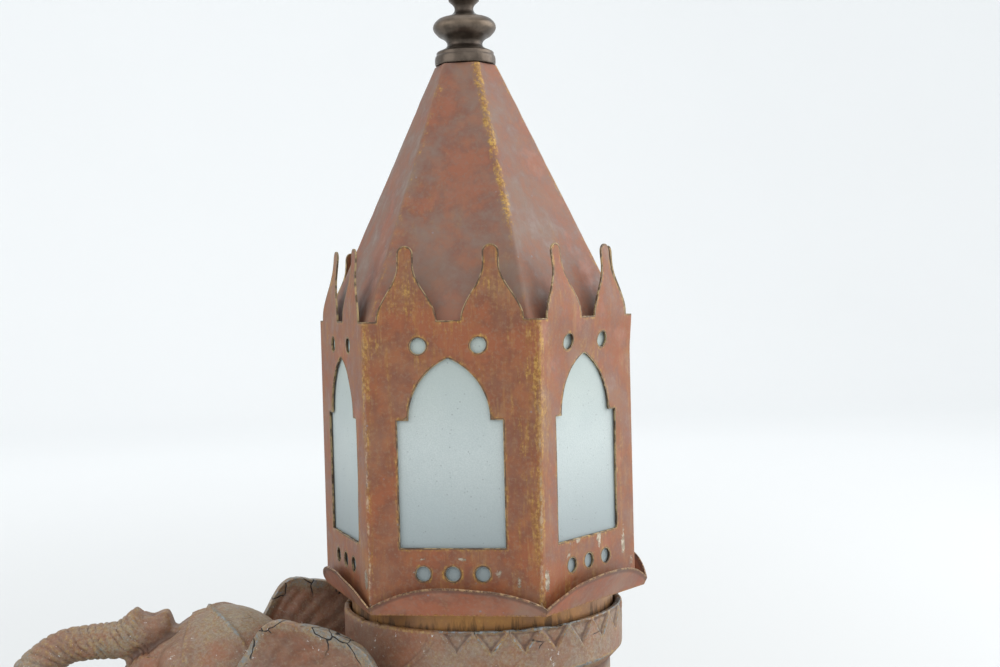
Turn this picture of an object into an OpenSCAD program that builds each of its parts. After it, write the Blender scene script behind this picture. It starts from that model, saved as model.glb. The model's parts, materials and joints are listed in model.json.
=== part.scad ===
/* [Overall] */
// height of the lantern's sheet-metal walls' foot above the table
lantern_z = 210; // [204:1:222]
// side length of the hexagonal lantern, which is also its corner radius
hex_r = 54; // [46:0.5:58]
// height of the lantern walls up to the foot of the battlements
wall_h = 87.6; // [84:0.5:100]
// rise of the pyramid roof above the wall top
roof_h = 85.6; // [72:1:102]
// turn of the lantern about the upright axis, degrees
lantern_turn = -13.4; // [-30:0.2:30]

/* [Lantern sheet metal] */
// thickness of the wall sheet
sheet = 1.0; // [0.8:0.1:1.2]
// height of each battlement above the wall top
merlon_h = 23.5; // [18:0.5:28]
// width of the foot of a battlement
merlon_w = 18.9; // [15:0.1:20]
// distance of a battlement's centre line from the face's centre line
merlon_off = 13.15; // [11:0.05:14]
// radius of the rounded battlement tip
merlon_tip_r = 2.5; // [1.8:0.1:3]
// height of the window sill above the wall foot
win_sill = 16.6; // [14:0.2:20]
// half width of the lower window
win_half = 16.66; // [13:0.1:18]
// height of the window shoulders above the wall foot
win_shoulder = 56.5; // [48:0.5:60]
// half width of the window arch at its springing
arch_half = 13.0; // [10:0.1:14]
// height of the arch's point above the wall foot
arch_top = 75.9; // [70:0.2:77]
// radius of the air holes above the windows
vent_r = 2.5; // [1.6:0.1:3]
// radius of the air holes below the windows
low_vent_r = 2.35; // [1.6:0.05:3]
// spacing of the air holes from the face's centre line
vent_off = 9.44; // [8:0.02:11]

/* [Tray and collar] */
// corner radius of the tray floor
tray_r = 55.5; // [54.5:0.1:60]
// rise of the tray lip in the middle of a side
lip_mid = 9.4; // [7:0.1:11]
// rise of the tray lip at the corners
lip_corner = 3.2; // [2:0.1:4]
// outward lean of the tray lips, degrees
lip_lean = 22; // [12:1:30]
// outer radius of the collar that drops into the drum
collar_r = 44.8; // [42:0.1:45]
// depth of the collar below the tray
collar_h = 22.6; // [18:0.2:24]

/* [Roof and finial] */
// thickness of the roof sheet
roof_t = 0.9; // [0.7:0.1:1.2]
// corner radius of the roof's flat top
roof_top_r = 10.9; // [9:0.1:13]
// radius of the finial's foot
finial_r = 10.4; // [8:0.1:11]
// radius of the threaded rod that holds the finial
stud_r = 3.0; // [2:0.1:3.2]

/* [Glass] */
// thickness of a glass pane
glass_t = 2.0; // [1.5:0.1:2.4]
// height of the panes' top edge above the wall foot
glass_top = 77.2; // [76:0.1:77.8]

/* [Drum] */
// outer radius of the drum
drum_r = 47.5; // [47:0.1:50]
// height of the drum's patterned band
band_h = 15; // [12:0.5:18]
// outer radius of the drum below its band
drum_low_r = 43.4; // [42.6:0.1:44]
// wall of the drum at its mouth
mouth_t = 1.9; // [1.6:0.1:2.2]
// depth of the drum from rim to the elephant's back
drum_depth = 48; // [46:0.5:54]

/* [Elephant] */
// wall of the hollow castings
wall = 4.5; // [4:0.1:6]
// half width of the barrel of the body
body_half = 46; // [44:0.5:50]
// half height of the barrel of the body
body_up = 42; // [39:0.5:44]
// radius of the front feet
foot_r = 17; // [15:0.5:19]
// radius of the hind feet
hind_r = 17.5; // [15:0.5:19]
// thickness of the ear castings
ear_t = 3.6; // [3:0.1:5]
// radius of the screws that hold the body halves together
screw_r = 2.5; // [2:0.1:3]

/* [Base] */
// length of the base
base_l = 192; // [180:1:220]
// width of the base
base_w = 106; // [104:1:124]
// height of the base
base_h = 16; // [14:0.5:18]
// cut at the corners of the base
base_cut = 14; // [8:1:20]
// inner radius of the cord inlet bushing
inlet_r = 3.2; // [2.4:0.1:3.6]

/* [Lamp] */
// radius of the threaded lamp pipe
pipe_r = 4.8; // [4:0.1:5.2]
// radius of the socket shell
socket_r = 17; // [16.6:0.1:19]
// largest radius of the bulb
bulb_r = 22; // [18:0.5:24]
// length of the bulb's glass above the socket
bulb_h = 58; // [50:1:62]

/* [Hidden] */
felt_t = 1.5;
cover_t = 1.5;
// air left between parts that move past each other
gap = 0.3;
// clearance of a screw or a rod in its hole
fit = 0.08;
lz = lantern_z;
apo = hex_r * cos(30);
in_apo = apo - sheet;
floor_top = lz - 2.5;
floor_t = 1.0;
rim_z = lz - 10;
drum_z = rim_z - drum_depth;
drum_floor = 4;
// how far the drum's foot stands out, and the metal under it
drum_foot = 1.4;
seat_t = 5;
collar_low = floor_top - floor_t - collar_h;
ledge_z = collar_low - gap;
collar_in = collar_r - 1.2;
roof_z = lz + wall_h - 1.6;
roof_low_r = (in_apo - 0.45) / cos(30);
roof_top_z = lz + wall_h + roof_h;
spider_z = roof_z - gap - 1.4;
spider_t = 1.4;
belly_z = lz - 95;
floor_z = base_h;
pipe_top = drum_z + 24;
cap_z = pipe_top - 6;
shell_z = cap_z + 14;
shell_h = lz + 12 - shell_z;
shell_top = shell_z + shell_h;
cav_h = base_h - 5;
head_z = lz - 38;

function norm3(a) = a / norm(a);

// a closed skin over rings that all hold the same number of points
module loft(rings) {
  n = len(rings[0]);
  m = len(rings);
  pts = [for (r = rings) for (p = r) p];
  sides = [for (i = [0:m - 2]) for (j = [0:n - 1])
    let (a = i * n + j, b = i * n + (j + 1) % n) each [[a, b, b + n], [a, b + n, a + n]]];
  low = [[for (j = [n - 1:-1:0]) j]];
  top = [[for (j = [0:n - 1]) (m - 1) * n + j]];
  polyhedron(points = pts, faces = concat(low, sides, top));
}

// a tube of changing radius along a path that stays in or near the XZ plane
function tangent(p, i) = let (n = len(p))
  norm3(i == 0 ? p[1] - p[0] : i == n - 1 ? p[n - 1] - p[n - 2] : p[i + 1] - p[i - 1]);
module tube(path, radii, wide = 1, sides = 14) {
  loft([for (i = [0:len(path) - 1])
    let (t = tangent(path, i), u = [0, 1, 0], w = norm3(cross(t, u)), v = cross(w, t))
    [for (k = [0:sides - 1]) let (a = 360 * k / sides)
      path[i] + radii[i] * (cos(a) * w + wide * sin(a) * v)]]);
}

// an oval ring across X, slightly squared
function ring_x(x, zc, ry, rz, n = 36) = [for (k = [0:n - 1]) let (a = -360 * k / n,
  c = cos(a), s = sin(a), q = 1 / pow(pow(abs(c), 2.3) + pow(abs(s), 2.3), 1 / 2.3))
  [x, ry * q * c, zc + rz * q * s]];
// an oval ring across Z
function ring_z(x, y, z, rx, ry, n = 22) = [for (k = [0:n - 1]) let (a = -360 * k / n)
  [x + rx * cos(a), y + ry * sin(a), z]];

barrel = [[-76, 26, 16, 20], [-70, 20, 27, 31], [-60, 12, 35, 36.5], [-44, 4, 41.5, 40],
  [-22, 0, 45, 42], [0, -1, 46, 42], [24, 0, 46, 42], [46, 2, 44, 42],
  [64, 4, 39, 40.5], [78, 5, 32.5, 36.5], [88, 5.5, 24.5, 29.5], [95, 6, 14, 19],
  [98, 6, 6, 9]];
module barrel_skin(less = 0) {
  loft([for (r = barrel) if (less == 0 || (r[0] > -66 && r[0] < 90))
    ring_x(r[0], belly_z + r[1], r[2] * body_half / 46 - less, r[3] * body_up / 42 - less, less == 0 ? 36 : 18)]);
}
module neck_skin(less = 0) {
  tube([[-92, 0, lz - 47], [-80, 0, lz - 52], [-66, 0, lz - 60], [-52, 0, lz - 70], [-36, 0, lz - 80]],
    [24 - less, 27 - less, 30 - less, 33.5 - less, 34 - less], 0.98, less == 0 ? 28 : 14);
}
module head_skin(less = 0) {
  translate([-88.5, 0, head_z]) scale([27 - less, 28.5 - less, 31 - less]) sphere(r = 1, $fn = less == 0 ? 36 : 16);
  translate([-99, 0, head_z - 8]) rotate([0, 24, 0])
    scale([19.5 - less, 20.5 - less, 29 - less]) sphere(r = 1, $fn = less == 0 ? 32 : 14);
  translate([-108, 0, head_z]) scale([18.5 - less, 16 - less, 22 - less]) sphere(r = 1, $fn = less == 0 ? 32 : 14);
}

// the trunk: down from the face, round the loop and back to the brow
trunk_mid = [-133, 0, lz - 43];
trunk_arc = [[252, 19.4, 11.9], [232, 20.2, 11.1], [212, 21.1, 10], [194, 22, 8.9], [176, 22.9, 8],
  [158, 23.6, 7.2], [140, 24.1, 6.6], [122, 24.5, 6.1], [104, 24.5, 6.1], [88, 24.6, 6.2]];
trunk_path = concat([[-95, 0, lz - 51], [-104, 0, lz - 56], [-113, 0, lz - 60.4], [-122, 0, lz - 63.4],
    [-131, 0, lz - 64.1]],
  [for (a = trunk_arc) trunk_mid + a[1] * [cos(a[0]), 0, sin(a[0])]],
  [[-122.5, 0, lz - 18], [-115, 0, lz - 15.1], [-108.6, 0, lz - 12.7], [-106, 0, lz - 11.8]]);
trunk_radii = concat([20.5, 19.3, 17.2, 15, 13.2], [for (a = trunk_arc) a[2]], [6.4, 6.6, 6.3, 5.6]);
module trunk_skin() { tube(trunk_path, trunk_radii, 1.02, 20); }

front_leg = [[0, 17, 17], [5, 16.8, 16.6], [12, 15.4, 15], [24, 14.3, 14], [38, 14.8, 14.2], [50, 16, 15],
  [62, 18, 16.4], [78, 20.5, 18], [96, 20, 17]];
module front_leg_skin(side, x, r) {
  loft([for (q = front_leg) ring_z(x + 3 - q[0] * 0.03, side * (23.5 + q[0] * 0.015),
    floor_z + q[0], q[1] * r / 17, q[2] * r / 17)]);
}
hind_leg = [[0, 17.5, 17], [5, 17, 16.6], [12, 15.6, 15], [24, 15.2, 14.2], [36, 16.6, 15], [50, 20, 17],
  [64, 24, 19], [80, 26, 19.5], [98, 22, 17]];
module hind_leg_skin(side, x, r) {
  loft([for (q = hind_leg) ring_z(x - q[0] * 0.045, side * (23 + q[0] * 0.01), floor_z + q[0],
    q[1] * r / 17.5, q[2] * r / 17.5)]);
}
module jaw_skin() {
  translate([-101, 0, lz - 69]) rotate([0, 30, 0]) scale([9, 11, 15]) sphere(r = 1, $fn = 16);
}
// the seat under the drum and the cloth that falls from it
cloth_x = 43;
module seat_skin() { translate([0, 0, belly_z]) cylinder(r = 46, h = drum_z - belly_z, $fn = 48); }
module cloth_skin() {
  intersection() {
    loft([for (r = barrel) if (r[0] > -66 && r[0] < 90)
      ring_x(r[0], belly_z + r[1], r[2] * body_half / 46 + 2.2, r[3] * body_up / 42 + 2.2)]);
    translate([-cloth_x, -80, belly_z - 8]) cube([2 * cloth_x, 160, 90]);
  }
}
module elephant_skin() {
  barrel_skin();
  neck_skin();
  head_skin();
  jaw_skin();
  trunk_skin();
  for (s = [-1, 1]) {
    front_leg_skin(s, -48, foot_r);
    hind_leg_skin(s, 64, hind_r);
  }
  seat_skin();
  cloth_skin();
}
screw_at = [[-52, belly_z + 8], [72, belly_z + 14], [-64, lz - 60]];
boss_r = 7;
module elephant_hollow() {
  difference() {
    union() {
      barrel_skin(wall);
      neck_skin(wall + 1);
      head_skin(wall + 0.5);
      translate([0, 0, belly_z]) cylinder(r = 46 - wall - 1, h = drum_z - belly_z, $fn = 32);
    }
    for (p = screw_at) translate([p[0], -60, p[1]]) rotate([-90, 0, 0]) cylinder(r = boss_r, h = 120, $fn = 16);
    // metal left around the drum's seat
    translate([0, 0, drum_z - seat_t]) cylinder(r = drum_low_r + drum_foot + wall, h = drum_depth, $fn = 32);
  }
}
module elephant_core(side) {
  resize([0, 0, 0]) intersection() {
    difference() {
      elephant_skin();
      elephant_hollow();
    }
    translate([-200, side < 0 ? -90 : 0, 0]) cube([400, 90, 400]);
  }
}
screw_head_y = [33.5, 28.5, 25.5];
module elephant_half(side) {
  difference() {
    elephant_core(side);
    // the place the drum stands in
    translate([0, 0, drum_z]) cylinder(r = drum_low_r + drum_foot + 0.1, h = drum_depth, $fn = 120);
    translate([0, 0, drum_z + drum_depth - band_h - 5]) cylinder(r = drum_r + 0.2, h = 60, $fn = 120);
    // the lamp pipe's hole through the seat
    translate([0, 0, drum_z - 12]) cylinder(r = pipe_r + fit, h = 20, $fn = 64);
    // the cord's way down the left hind leg
    if (side < 0) translate([62, -23, floor_z - 2]) cylinder(r = 4.5, h = 70, $fn = 48);
    for (i = [0:2]) translate([screw_at[i][0], 0, screw_at[i][1]]) rotate([-90, 0, 0]) {
      if (side < 0) translate([0, 0, -16]) cylinder(r = screw_r + fit, h = 20, $fn = 48);
      else {
        translate([0, 0, -4]) cylinder(r = screw_r + fit, h = 60, $fn = 48);
        translate([0, 0, screw_head_y[i] - 2.2]) cylinder(r = screw_r * 2 + 0.3, h = 40, $fn = 48);
      }
    }
    ear_bores(side);
    for (p = foot_at) if (p[1] * side > 0) translate([p[0], p[1], floor_z - 1])
      cylinder(r = 2 + fit, h = 17, $fn = 40);
  }
}
foot_at = [[-45, -23.5], [-45, 23.5], [71, -27], [64, 23]];

module base_outline(less = 0) {
  l = base_l / 2 - less;
  w = base_w / 2 - less;
  c = base_cut - less * 0.586;
  polygon([[-l + c, -w], [l - c, -w], [l, -w + c], [l, w - c], [l - c, w], [-l + c, w],
    [-l, w - c], [-l, -w + c]]);
}
cover_at = [for (sx = [-1, 1]) for (sy = [-1, 1]) [sx * 30, sy * (base_w / 2 - 14)]];
inlet_z = 7.2;
module base_plinth() {
  color([0.42, 0.2, 0.13]) difference() {
    union() {
      translate([0, 0, felt_t]) linear_extrude(height = base_h - 5.5 - felt_t) base_outline();
      translate([0, 0, base_h - 5.5]) linear_extrude(height = 2) base_outline(1.6);
      translate([0, 0, base_h - 3.5]) linear_extrude(height = 3.5) base_outline(4);
    }
    difference() {
      translate([0, 0, -1]) linear_extrude(height = cav_h + 1) base_outline(7);
      for (p = cover_at) translate([p[0], p[1], felt_t + cover_t]) cylinder(r = 5, h = 20, $fn = 40);
    }
    for (p = cover_at) translate([p[0], p[1], 0]) cylinder(r = 1.5 + fit, h = 10, $fn = 36);
    for (p = foot_at) translate([p[0], p[1], 0]) cylinder(r = 2 + fit, h = 40, $fn = 40);
    translate([62, -23, 0]) cylinder(r = 4.5, h = 40, $fn = 48);
    translate([base_l / 2 - 12, 0, inlet_z]) rotate([0, 90, 0]) cylinder(r = inlet_r + 1.4, h = 20, $fn = 48);
  }
}
module base_cover() {
  color([0.45, 0.4, 0.36]) translate([0, 0, felt_t]) difference() {
    linear_extrude(height = cover_t) base_outline(7.3);
    for (p = cover_at) translate([p[0], p[1], -1]) cylinder(r = 1.5 + fit, h = 5, $fn = 36);
  }
}
module felt_pad() {
  color([0.16, 0.24, 0.18]) difference() {
    linear_extrude(height = felt_t) base_outline(2);
    for (p = cover_at) translate([p[0], p[1], -1]) cylinder(r = 3.4, h = 5, $fn = 36);
  }
}
module cover_screws() {
  color([0.6, 0.5, 0.3]) for (p = cover_at) translate([p[0], p[1], 0]) difference() {
    union() {
      translate([0, 0, 0.4]) cylinder(r = 2.9, h = felt_t - 0.4, $fn = 40);
      cylinder(r = 1.5, h = 9, $fn = 36);
    }
    translate([-4, -0.4, -1]) cube([8, 0.8, 1.9]);
  }
}
module base_screws() {
  color([0.5, 0.45, 0.4]) for (p = foot_at) translate([p[0], p[1], cav_h]) difference() {
    union() {
      translate([0, 0, -2.4]) cylinder(r = 4, h = 2.4, $fn = 40);
      translate([0, 0, -1]) cylinder(r = 2, h = 19, $fn = 40);
    }
    translate([-5, -0.5, -3.4]) cube([10, 1, 2.2]);
  }
}
module cord_bushing() {
  color([0.12, 0.1, 0.09]) translate([base_l / 2 - 8.5, 0, inlet_z]) rotate([0, 90, 0]) difference() {
    union() {
      translate([0, 0, 0.9]) cylinder(r = inlet_r + 1.4 - fit * 0.5, h = 8, $fn = 64);
      translate([0, 0, 8.5]) cylinder(r = inlet_r + 2.4, h = 1.4, $fn = 64);
    }
    translate([0, 0, -1]) cylinder(r = inlet_r, h = 14, $fn = 64);
  }
}
module elephant_left() { color([0.42, 0.22, 0.14]) elephant_half(-1); }
module elephant_right() { color([0.42, 0.22, 0.14]) elephant_half(1); }
module body_screws() {
  color([0.5, 0.42, 0.3]) for (i = [0:2]) translate([screw_at[i][0], 0, screw_at[i][1]])
    rotate([-90, 0, 0]) difference() {
      union() {
        translate([0, 0, -14]) cylinder(r = screw_r, h = screw_head_y[i] + 12, $fn = 48);
        translate([0, 0, screw_head_y[i] - 2.2]) cylinder(r = screw_r * 2, h = 2.6, $fn = 48);
      }
      translate([-0.6, -10, screw_head_y[i] - 0.7]) cube([1.2, 20, 4]);
    }
}

// the ear as a plate in its own plane, x along it, y up
ear_shape = [[-2, -19.5], [3, -15], [8, -11.4], [12.2, -7.8], [17.3, -6.3], [25.2, -7.8], [33.4, -10.2],
  [40.8, -13.8], [44.3, -17.6], [46.8, -23], [48, -32], [47, -42], [43, -52], [37, -61], [29, -69],
  [20, -75], [12, -77], [6.5, -73], [3.5, -65], [2.5, -55], [0, -45], [-3, -34], [-4, -26]];
// side is -1 for the left ear and 1 for the right one; children stand on the ear's inner face, z outwards
module ear_frame(side) {
  mirror([0, side > 0 ? 1 : 0, 0]) translate([-81, -27.5, lz]) rotate([0, 0, -17]) rotate([90, 0, 0]) children();
}
ear_root = [[-3, -27], [4, -20], [13, -24], [17, -36], [16, -50], [9, -60], [3, -58], [0, -46], [-2.6, -36]];
module ear(side) {
  resize([0, 0, 0]) difference() {
    ear_frame(side) union() {
      linear_extrude(height = ear_t) polygon(ear_shape);
      translate([0, 0, -14]) linear_extrude(height = 14.5) polygon(ear_root);
    }
    head_skin();
    neck_skin();
    barrel_skin();
    cloth_skin();
  }
}
ear_screw_at = [[7, -32], [8, -50]];
module ear_bores(side) {
  ear_frame(side) for (p = ear_screw_at) translate([p[0], p[1], -15])
    cylinder(r = 1.5 + fit, h = ear_t + 20, $fn = 36);
}
module ear_left() {
  color([0.4, 0.24, 0.17]) difference() {
    ear(-1);
    ear_bores(-1);
  }
}
module ear_right() {
  color([0.4, 0.24, 0.17]) difference() {
    ear(1);
    ear_bores(1);
  }
}
module ear_screws() {
  color([0.5, 0.42, 0.3]) for (s = [-1, 1]) ear_frame(s) for (p = ear_screw_at) translate([p[0], p[1], 0])
    union() {
      translate([0, 0, -14]) cylinder(r = 1.5, h = ear_t + 14.5, $fn = 36);
      translate([0, 0, ear_t]) cylinder(r = 2.7, h = 1.1, $fn = 36);
    }
}
tusk_path = [[-103, -15, lz - 58], [-110, -18.5, lz - 64.5], [-118, -21.5, lz - 69], [-126, -23, lz - 71],
  [-133, -23.2, lz - 70.4], [-138.5, -22.4, lz - 68]];
tusk_radii = [4.3, 4.1, 3.7, 3.1, 2.2, 0.9];
module tusk() { tube(tusk_path, tusk_radii, 1, 18); }
module tusk_one(side) {
  resize([0, 0, 0]) difference() {
    if (side < 0) tusk();
    else mirror([0, 1, 0]) tusk();
    head_skin();
    trunk_skin();
    jaw_skin();
  }
}
module tusk_left() { color([0.7, 0.62, 0.5]) tusk_one(-1); }
module tusk_right() { color([0.7, 0.62, 0.5]) tusk_one(1); }
module tail() {
  color([0.4, 0.22, 0.15]) resize([0, 0, 0]) difference() {
    tube([[88, 0, belly_z + 24], [96, 0, belly_z + 22], [101, 1, belly_z + 12], [103, 2, belly_z - 4],
        [102, 3, belly_z - 20], [100, 3, belly_z - 34], [99.5, 3, belly_z - 42], [99.5, 3, belly_z - 52],
        [100, 3, belly_z - 60]],
      [4.4, 4.2, 3.6, 3, 2.6, 2.6, 3.8, 3.6, 1.2], 1, 16);
    barrel_skin();
    for (s = [-1, 1]) hind_leg_skin(s, 64, hind_r);
  }
}

module drum() {
  r = drum_r;
  low = drum_low_r;
  h = drum_depth;
  b = band_h;
  color([0.42, 0.21, 0.13]) translate([0, 0, drum_z]) difference() {
    rotate_extrude($fn = 120) polygon([[0, 0], [low + drum_foot, 0], [low + drum_foot, 3], [low, 4.5],
      [low, h - b - 4.5], [r, h - b - 0.5], [r, h - 0.6], [r - 0.6, h], [r - mouth_t, h],
      [r - mouth_t, ledge_z - drum_z], [low - 4, ledge_z - drum_z], [low - 4, drum_floor], [0, drum_floor]]);
    translate([0, 0, -1]) cylinder(r = pipe_r + fit, h = 20, $fn = 64);
  }
}
module lamp_pipe() {
  color([0.6, 0.5, 0.3]) translate([0, 0, drum_z - 14]) difference() {
    cylinder(r = pipe_r, h = pipe_top - drum_z + 14, $fn = 64);
    translate([0, 0, -1]) cylinder(r = pipe_r - 1.3, h = 60, $fn = 64);
  }
}
module hex_nut(r, h, bore) {
  difference() {
    cylinder(r = r, h = h, $fn = 6);
    translate([0, 0, -1]) cylinder(r = bore, h = h + 2, $fn = 64);
  }
}
module pipe_nuts() {
  color([0.6, 0.5, 0.3]) {
    translate([0, 0, drum_z - 10.4]) hex_nut(9, 4, pipe_r);
    translate([0, 0, drum_z + drum_floor + 1.4]) hex_nut(9, 4, pipe_r);
  }
}
module pipe_washers() {
  color([0.55, 0.52, 0.48]) for (z = [drum_z - 6.4, drum_z + drum_floor]) translate([0, 0, z]) difference() {
    cylinder(r = 12, h = 1.4, $fn = 64);
    translate([0, 0, -1]) cylinder(r = pipe_r + fit, h = 4, $fn = 64);
  }
}
module socket_cap() {
  r = socket_r;
  color([0.72, 0.58, 0.32]) translate([0, 0, cap_z]) difference() {
    rotate_extrude($fn = 96) polygon([[0, 0], [8, 0], [10, 2], [r - 3, 8], [r, 11], [r, 14], [r - 0.8, 14],
      [r - 0.8, 11.4], [r - 3.6, 8.8], [9, 2.8], [0, 2.8]]);
    translate([0, 0, -1]) cylinder(r = pipe_r, h = 6, $fn = 64);
  }
}
module socket_shell() {
  r = socket_r;
  color([0.72, 0.58, 0.32]) translate([0, 0, shell_z]) difference() {
    cylinder(r = r, h = shell_h, $fn = 96);
    translate([0, 0, -1]) cylinder(r = r - 0.8, h = shell_h + 2, $fn = 96);
  }
}
module socket_liner() {
  r = socket_r - 0.8;
  color([0.5, 0.42, 0.3]) translate([0, 0, shell_z]) difference() {
    cylinder(r = r, h = shell_h - 1, $fn = 96);
    translate([0, 0, -1]) cylinder(r = r - 0.8, h = shell_h + 2, $fn = 96);
  }
}
module socket_body() {
  r = socket_r - 1.6;
  color([0.12, 0.11, 0.1]) translate([0, 0, cap_z + 12.4]) difference() {
    cylinder(r = r, h = 9, $fn = 96);
    translate([0, 0, -1]) cylinder(r = 1.4, h = 20, $fn = 32);
  }
}
sock_in_z = cap_z + 21.4;
module screw_shell() {
  color([0.78, 0.66, 0.4]) translate([0, 0, sock_in_z]) difference() {
    cylinder(r = 14.2, h = shell_top - sock_in_z - 1.5, $fn = 96);
    translate([0, 0, 0.5]) cylinder(r = 13.7, h = 60, $fn = 96);
    translate([0, 0, -1]) cylinder(r = 6, h = 10, $fn = 48);
  }
}
module centre_contact() {
  color([0.8, 0.65, 0.35]) translate([0, 0, sock_in_z]) union() {
    cylinder(r = 3.4, h = 1.6, $fn = 40);
    translate([0, 0, -3]) cylinder(r = 1.3, h = 4, $fn = 32);
  }
}

// one wall of the lantern seen from outside: x across, y up from the wall foot
function ogee(h, w) = merlon_tip_r + (w / 2 - merlon_tip_r) * (1 + cos(min(h, merlon_h - 6) * 180 / (merlon_h - 6))) / 2;
function merlon(c) = let (m = merlon_h, k = 14, t = merlon_tip_r)
  concat([for (i = [0:k]) let (h = (m - 6) * i / k) [c - ogee(h, merlon_w), wall_h + h]],
    [for (i = [0:10]) let (a = 180 - 18 * i) [c + t * cos(a), wall_h + m - t + t * sin(a)]],
    [for (i = [k:-1:0]) let (h = (m - 6) * i / k) [c + ogee(h, merlon_w), wall_h + h]]);
module crown_cut() {
  polygon(concat([[-hex_r, wall_h + 40], [-hex_r, wall_h]], merlon(-merlon_off), merlon(merlon_off),
    [[hex_r, wall_h], [hex_r, wall_h + 40]]));
}
module window() {
  u = arch_top - win_shoulder;
  c = (u * u - arch_half * arch_half) / (2 * arch_half);
  r = arch_half + c;
  e = asin(u / r);
  k = 12;
  polygon(concat([[-win_half, win_sill], [win_half, win_sill], [win_half, win_shoulder]],
    [for (i = [0:k]) let (a = e * i / k) [-c + r * cos(a), win_shoulder + r * sin(a)]],
    [for (i = [k - 1:-1:0]) let (a = e * i / k) [c - r * cos(a), win_shoulder + r * sin(a)]],
    [[-win_half, win_shoulder]]));
}
module on_faces(list = [0, 1, 2, 3, 4, 5]) {
  rotate([0, 0, lantern_turn]) for (i = list) rotate([0, 0, 60 * i]) children();
}
module lantern_cage() {
  top = lz + wall_h + merlon_h;
  color([0.5, 0.24, 0.15]) difference() {
    rotate([0, 0, lantern_turn]) translate([0, 0, floor_top]) difference() {
      cylinder(r = hex_r, h = top - floor_top, $fn = 6);
      translate([0, 0, -1]) cylinder(r = in_apo / cos(30), h = 200, $fn = 6);
    }
    on_faces() translate([0, -apo + 6, lz]) rotate([90, 0, 0]) linear_extrude(height = 12) window();
    on_faces() translate([0, -apo + 6, lz]) rotate([90, 0, 0]) linear_extrude(height = 12) crown_cut();
    on_faces() for (x = [-vent_off, vent_off]) translate([x, -apo + 6, lz + wall_h - 7.8]) rotate([90, 0, 0])
      cylinder(r = vent_r, h = 12, $fn = 36);
    on_faces() for (x = [-vent_off, 0, vent_off]) translate([x, -apo + 6, lz + 8.5]) rotate([90, 0, 0])
      cylinder(r = low_vent_r, h = 12, $fn = 36);
  }
}
tray_apo = tray_r * cos(30);
module lip() {
  t = tan(30);
  k = 12;
  grow = sin(lip_lean) * t;
  half = tray_apo * t;
  foot = [[-half, 0], [half, 0]];
  arc = [for (i = [0:k]) let (u = 1 - 2 * i / k, h = lip_corner + (lip_mid - lip_corner) * (1 - pow(abs(u), 2.2)))
    [u * (half + grow * h), h]];
  translate([0, -tray_apo + 0.2, floor_top - floor_t]) rotate([90 + lip_lean, 0, 0])
    linear_extrude(height = 0.9) polygon(concat(foot, arc));
}
module lantern_tray() {
  color([0.5, 0.23, 0.15]) union() {
    translate([0, 0, floor_top - floor_t]) difference() {
      rotate([0, 0, lantern_turn]) cylinder(r = tray_r, h = floor_t, $fn = 6);
      translate([0, 0, -1]) cylinder(r = collar_in - 1.6, h = 4, $fn = 120);
    }
    on_faces() lip();
  }
}
module lantern_collar() {
  color([0.62, 0.48, 0.26]) translate([0, 0, collar_low]) difference() {
    cylinder(r = collar_r, h = collar_h, $fn = 120);
    translate([0, 0, -1]) cylinder(r = collar_in, h = collar_h + 2, $fn = 120);
  }
}
pane_in = in_apo - glass_t;
pane_w = 2 * pane_in * tan(30) - 0.5;
module pane(i) {
  color([0.8, 0.87, 0.9, 0.6]) on_faces([i - 1]) translate([-pane_w / 2, -in_apo, floor_top])
    cube([pane_w, glass_t, lz + glass_top - floor_top]);
}
module glass_pane_1() { pane(1); }
module glass_pane_2() { pane(2); }
module glass_pane_3() { pane(3); }
module glass_pane_4() { pane(4); }
module glass_pane_5() { pane(5); }
module glass_pane_6() { pane(6); }
module corner_strips() {
  a = pane_in;
  b = pane_in - 0.7;
  t = tan(30);
  w = 6;
  v = w - (a - b) * t;
  color([0.55, 0.5, 0.42]) translate([0, 0, floor_top]) linear_extrude(height = lz + glass_top - floor_top - 1)
    rotate([0, 0, lantern_turn]) for (i = [0:5]) rotate([0, 0, 60 * i])
      polygon([[a * t, -a], [a * t + w * cos(60), -a + w * sin(60)], [b * t + v * cos(60), -b + v * sin(60)],
        [b * t, -b], [b * t - v, -b], [a * t - w, -a]]);
}
module roof_spider() {
  color([0.5, 0.42, 0.32]) difference() {
    union() {
      translate([0, 0, spider_z]) cylinder(r = 12, h = spider_t, $fn = 64);
      on_faces([0, 2, 4]) translate([-5, -in_apo, spider_z]) cube([10, in_apo - 6, spider_t]);
    }
    translate([0, 0, spider_z - 1]) cylinder(r = stud_r + fit, h = 6, $fn = 48);
  }
}
stud_top = roof_top_z + 14;
module finial_stud() {
  color([0.6, 0.52, 0.36]) translate([0, 0, spider_z - 5]) cylinder(r = stud_r, h = stud_top - spider_z + 5, $fn = 48);
}
module stud_nuts() {
  color([0.6, 0.52, 0.36]) for (z = [spider_z - 3.4, spider_z + spider_t]) translate([0, 0, z])
    hex_nut(6.2, 3.4, stud_r);
}
module roof() {
  h = roof_top_z - roof_z;
  cosf = cos(30);
  slope = (roof_low_r - roof_top_r) / h;
  th = roof_t / cosf * sqrt(1 + slope * slope * cosf * cosf);
  color([0.45, 0.23, 0.17]) difference() {
    rotate([0, 0, lantern_turn]) translate([0, 0, roof_z]) difference() {
      cylinder(r1 = roof_low_r, r2 = roof_top_r, h = h, $fn = 6);
      translate([0, 0, -0.01]) cylinder(r1 = roof_low_r - th, r2 = roof_top_r - th + slope * 1.2,
        h = h - 1.19, $fn = 6);
    }
    translate([0, 0, roof_top_z - 4]) cylinder(r = stud_r + 0.4, h = 8, $fn = 48);
  }
}
module roof_washer() {
  color([0.5, 0.42, 0.32]) translate([0, 0, roof_top_z - 2.4]) difference() {
    cylinder(r = 7.6, h = 1.2, $fn = 48);
    translate([0, 0, -1]) cylinder(r = stud_r + 0.4, h = 4, $fn = 48);
  }
}
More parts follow.
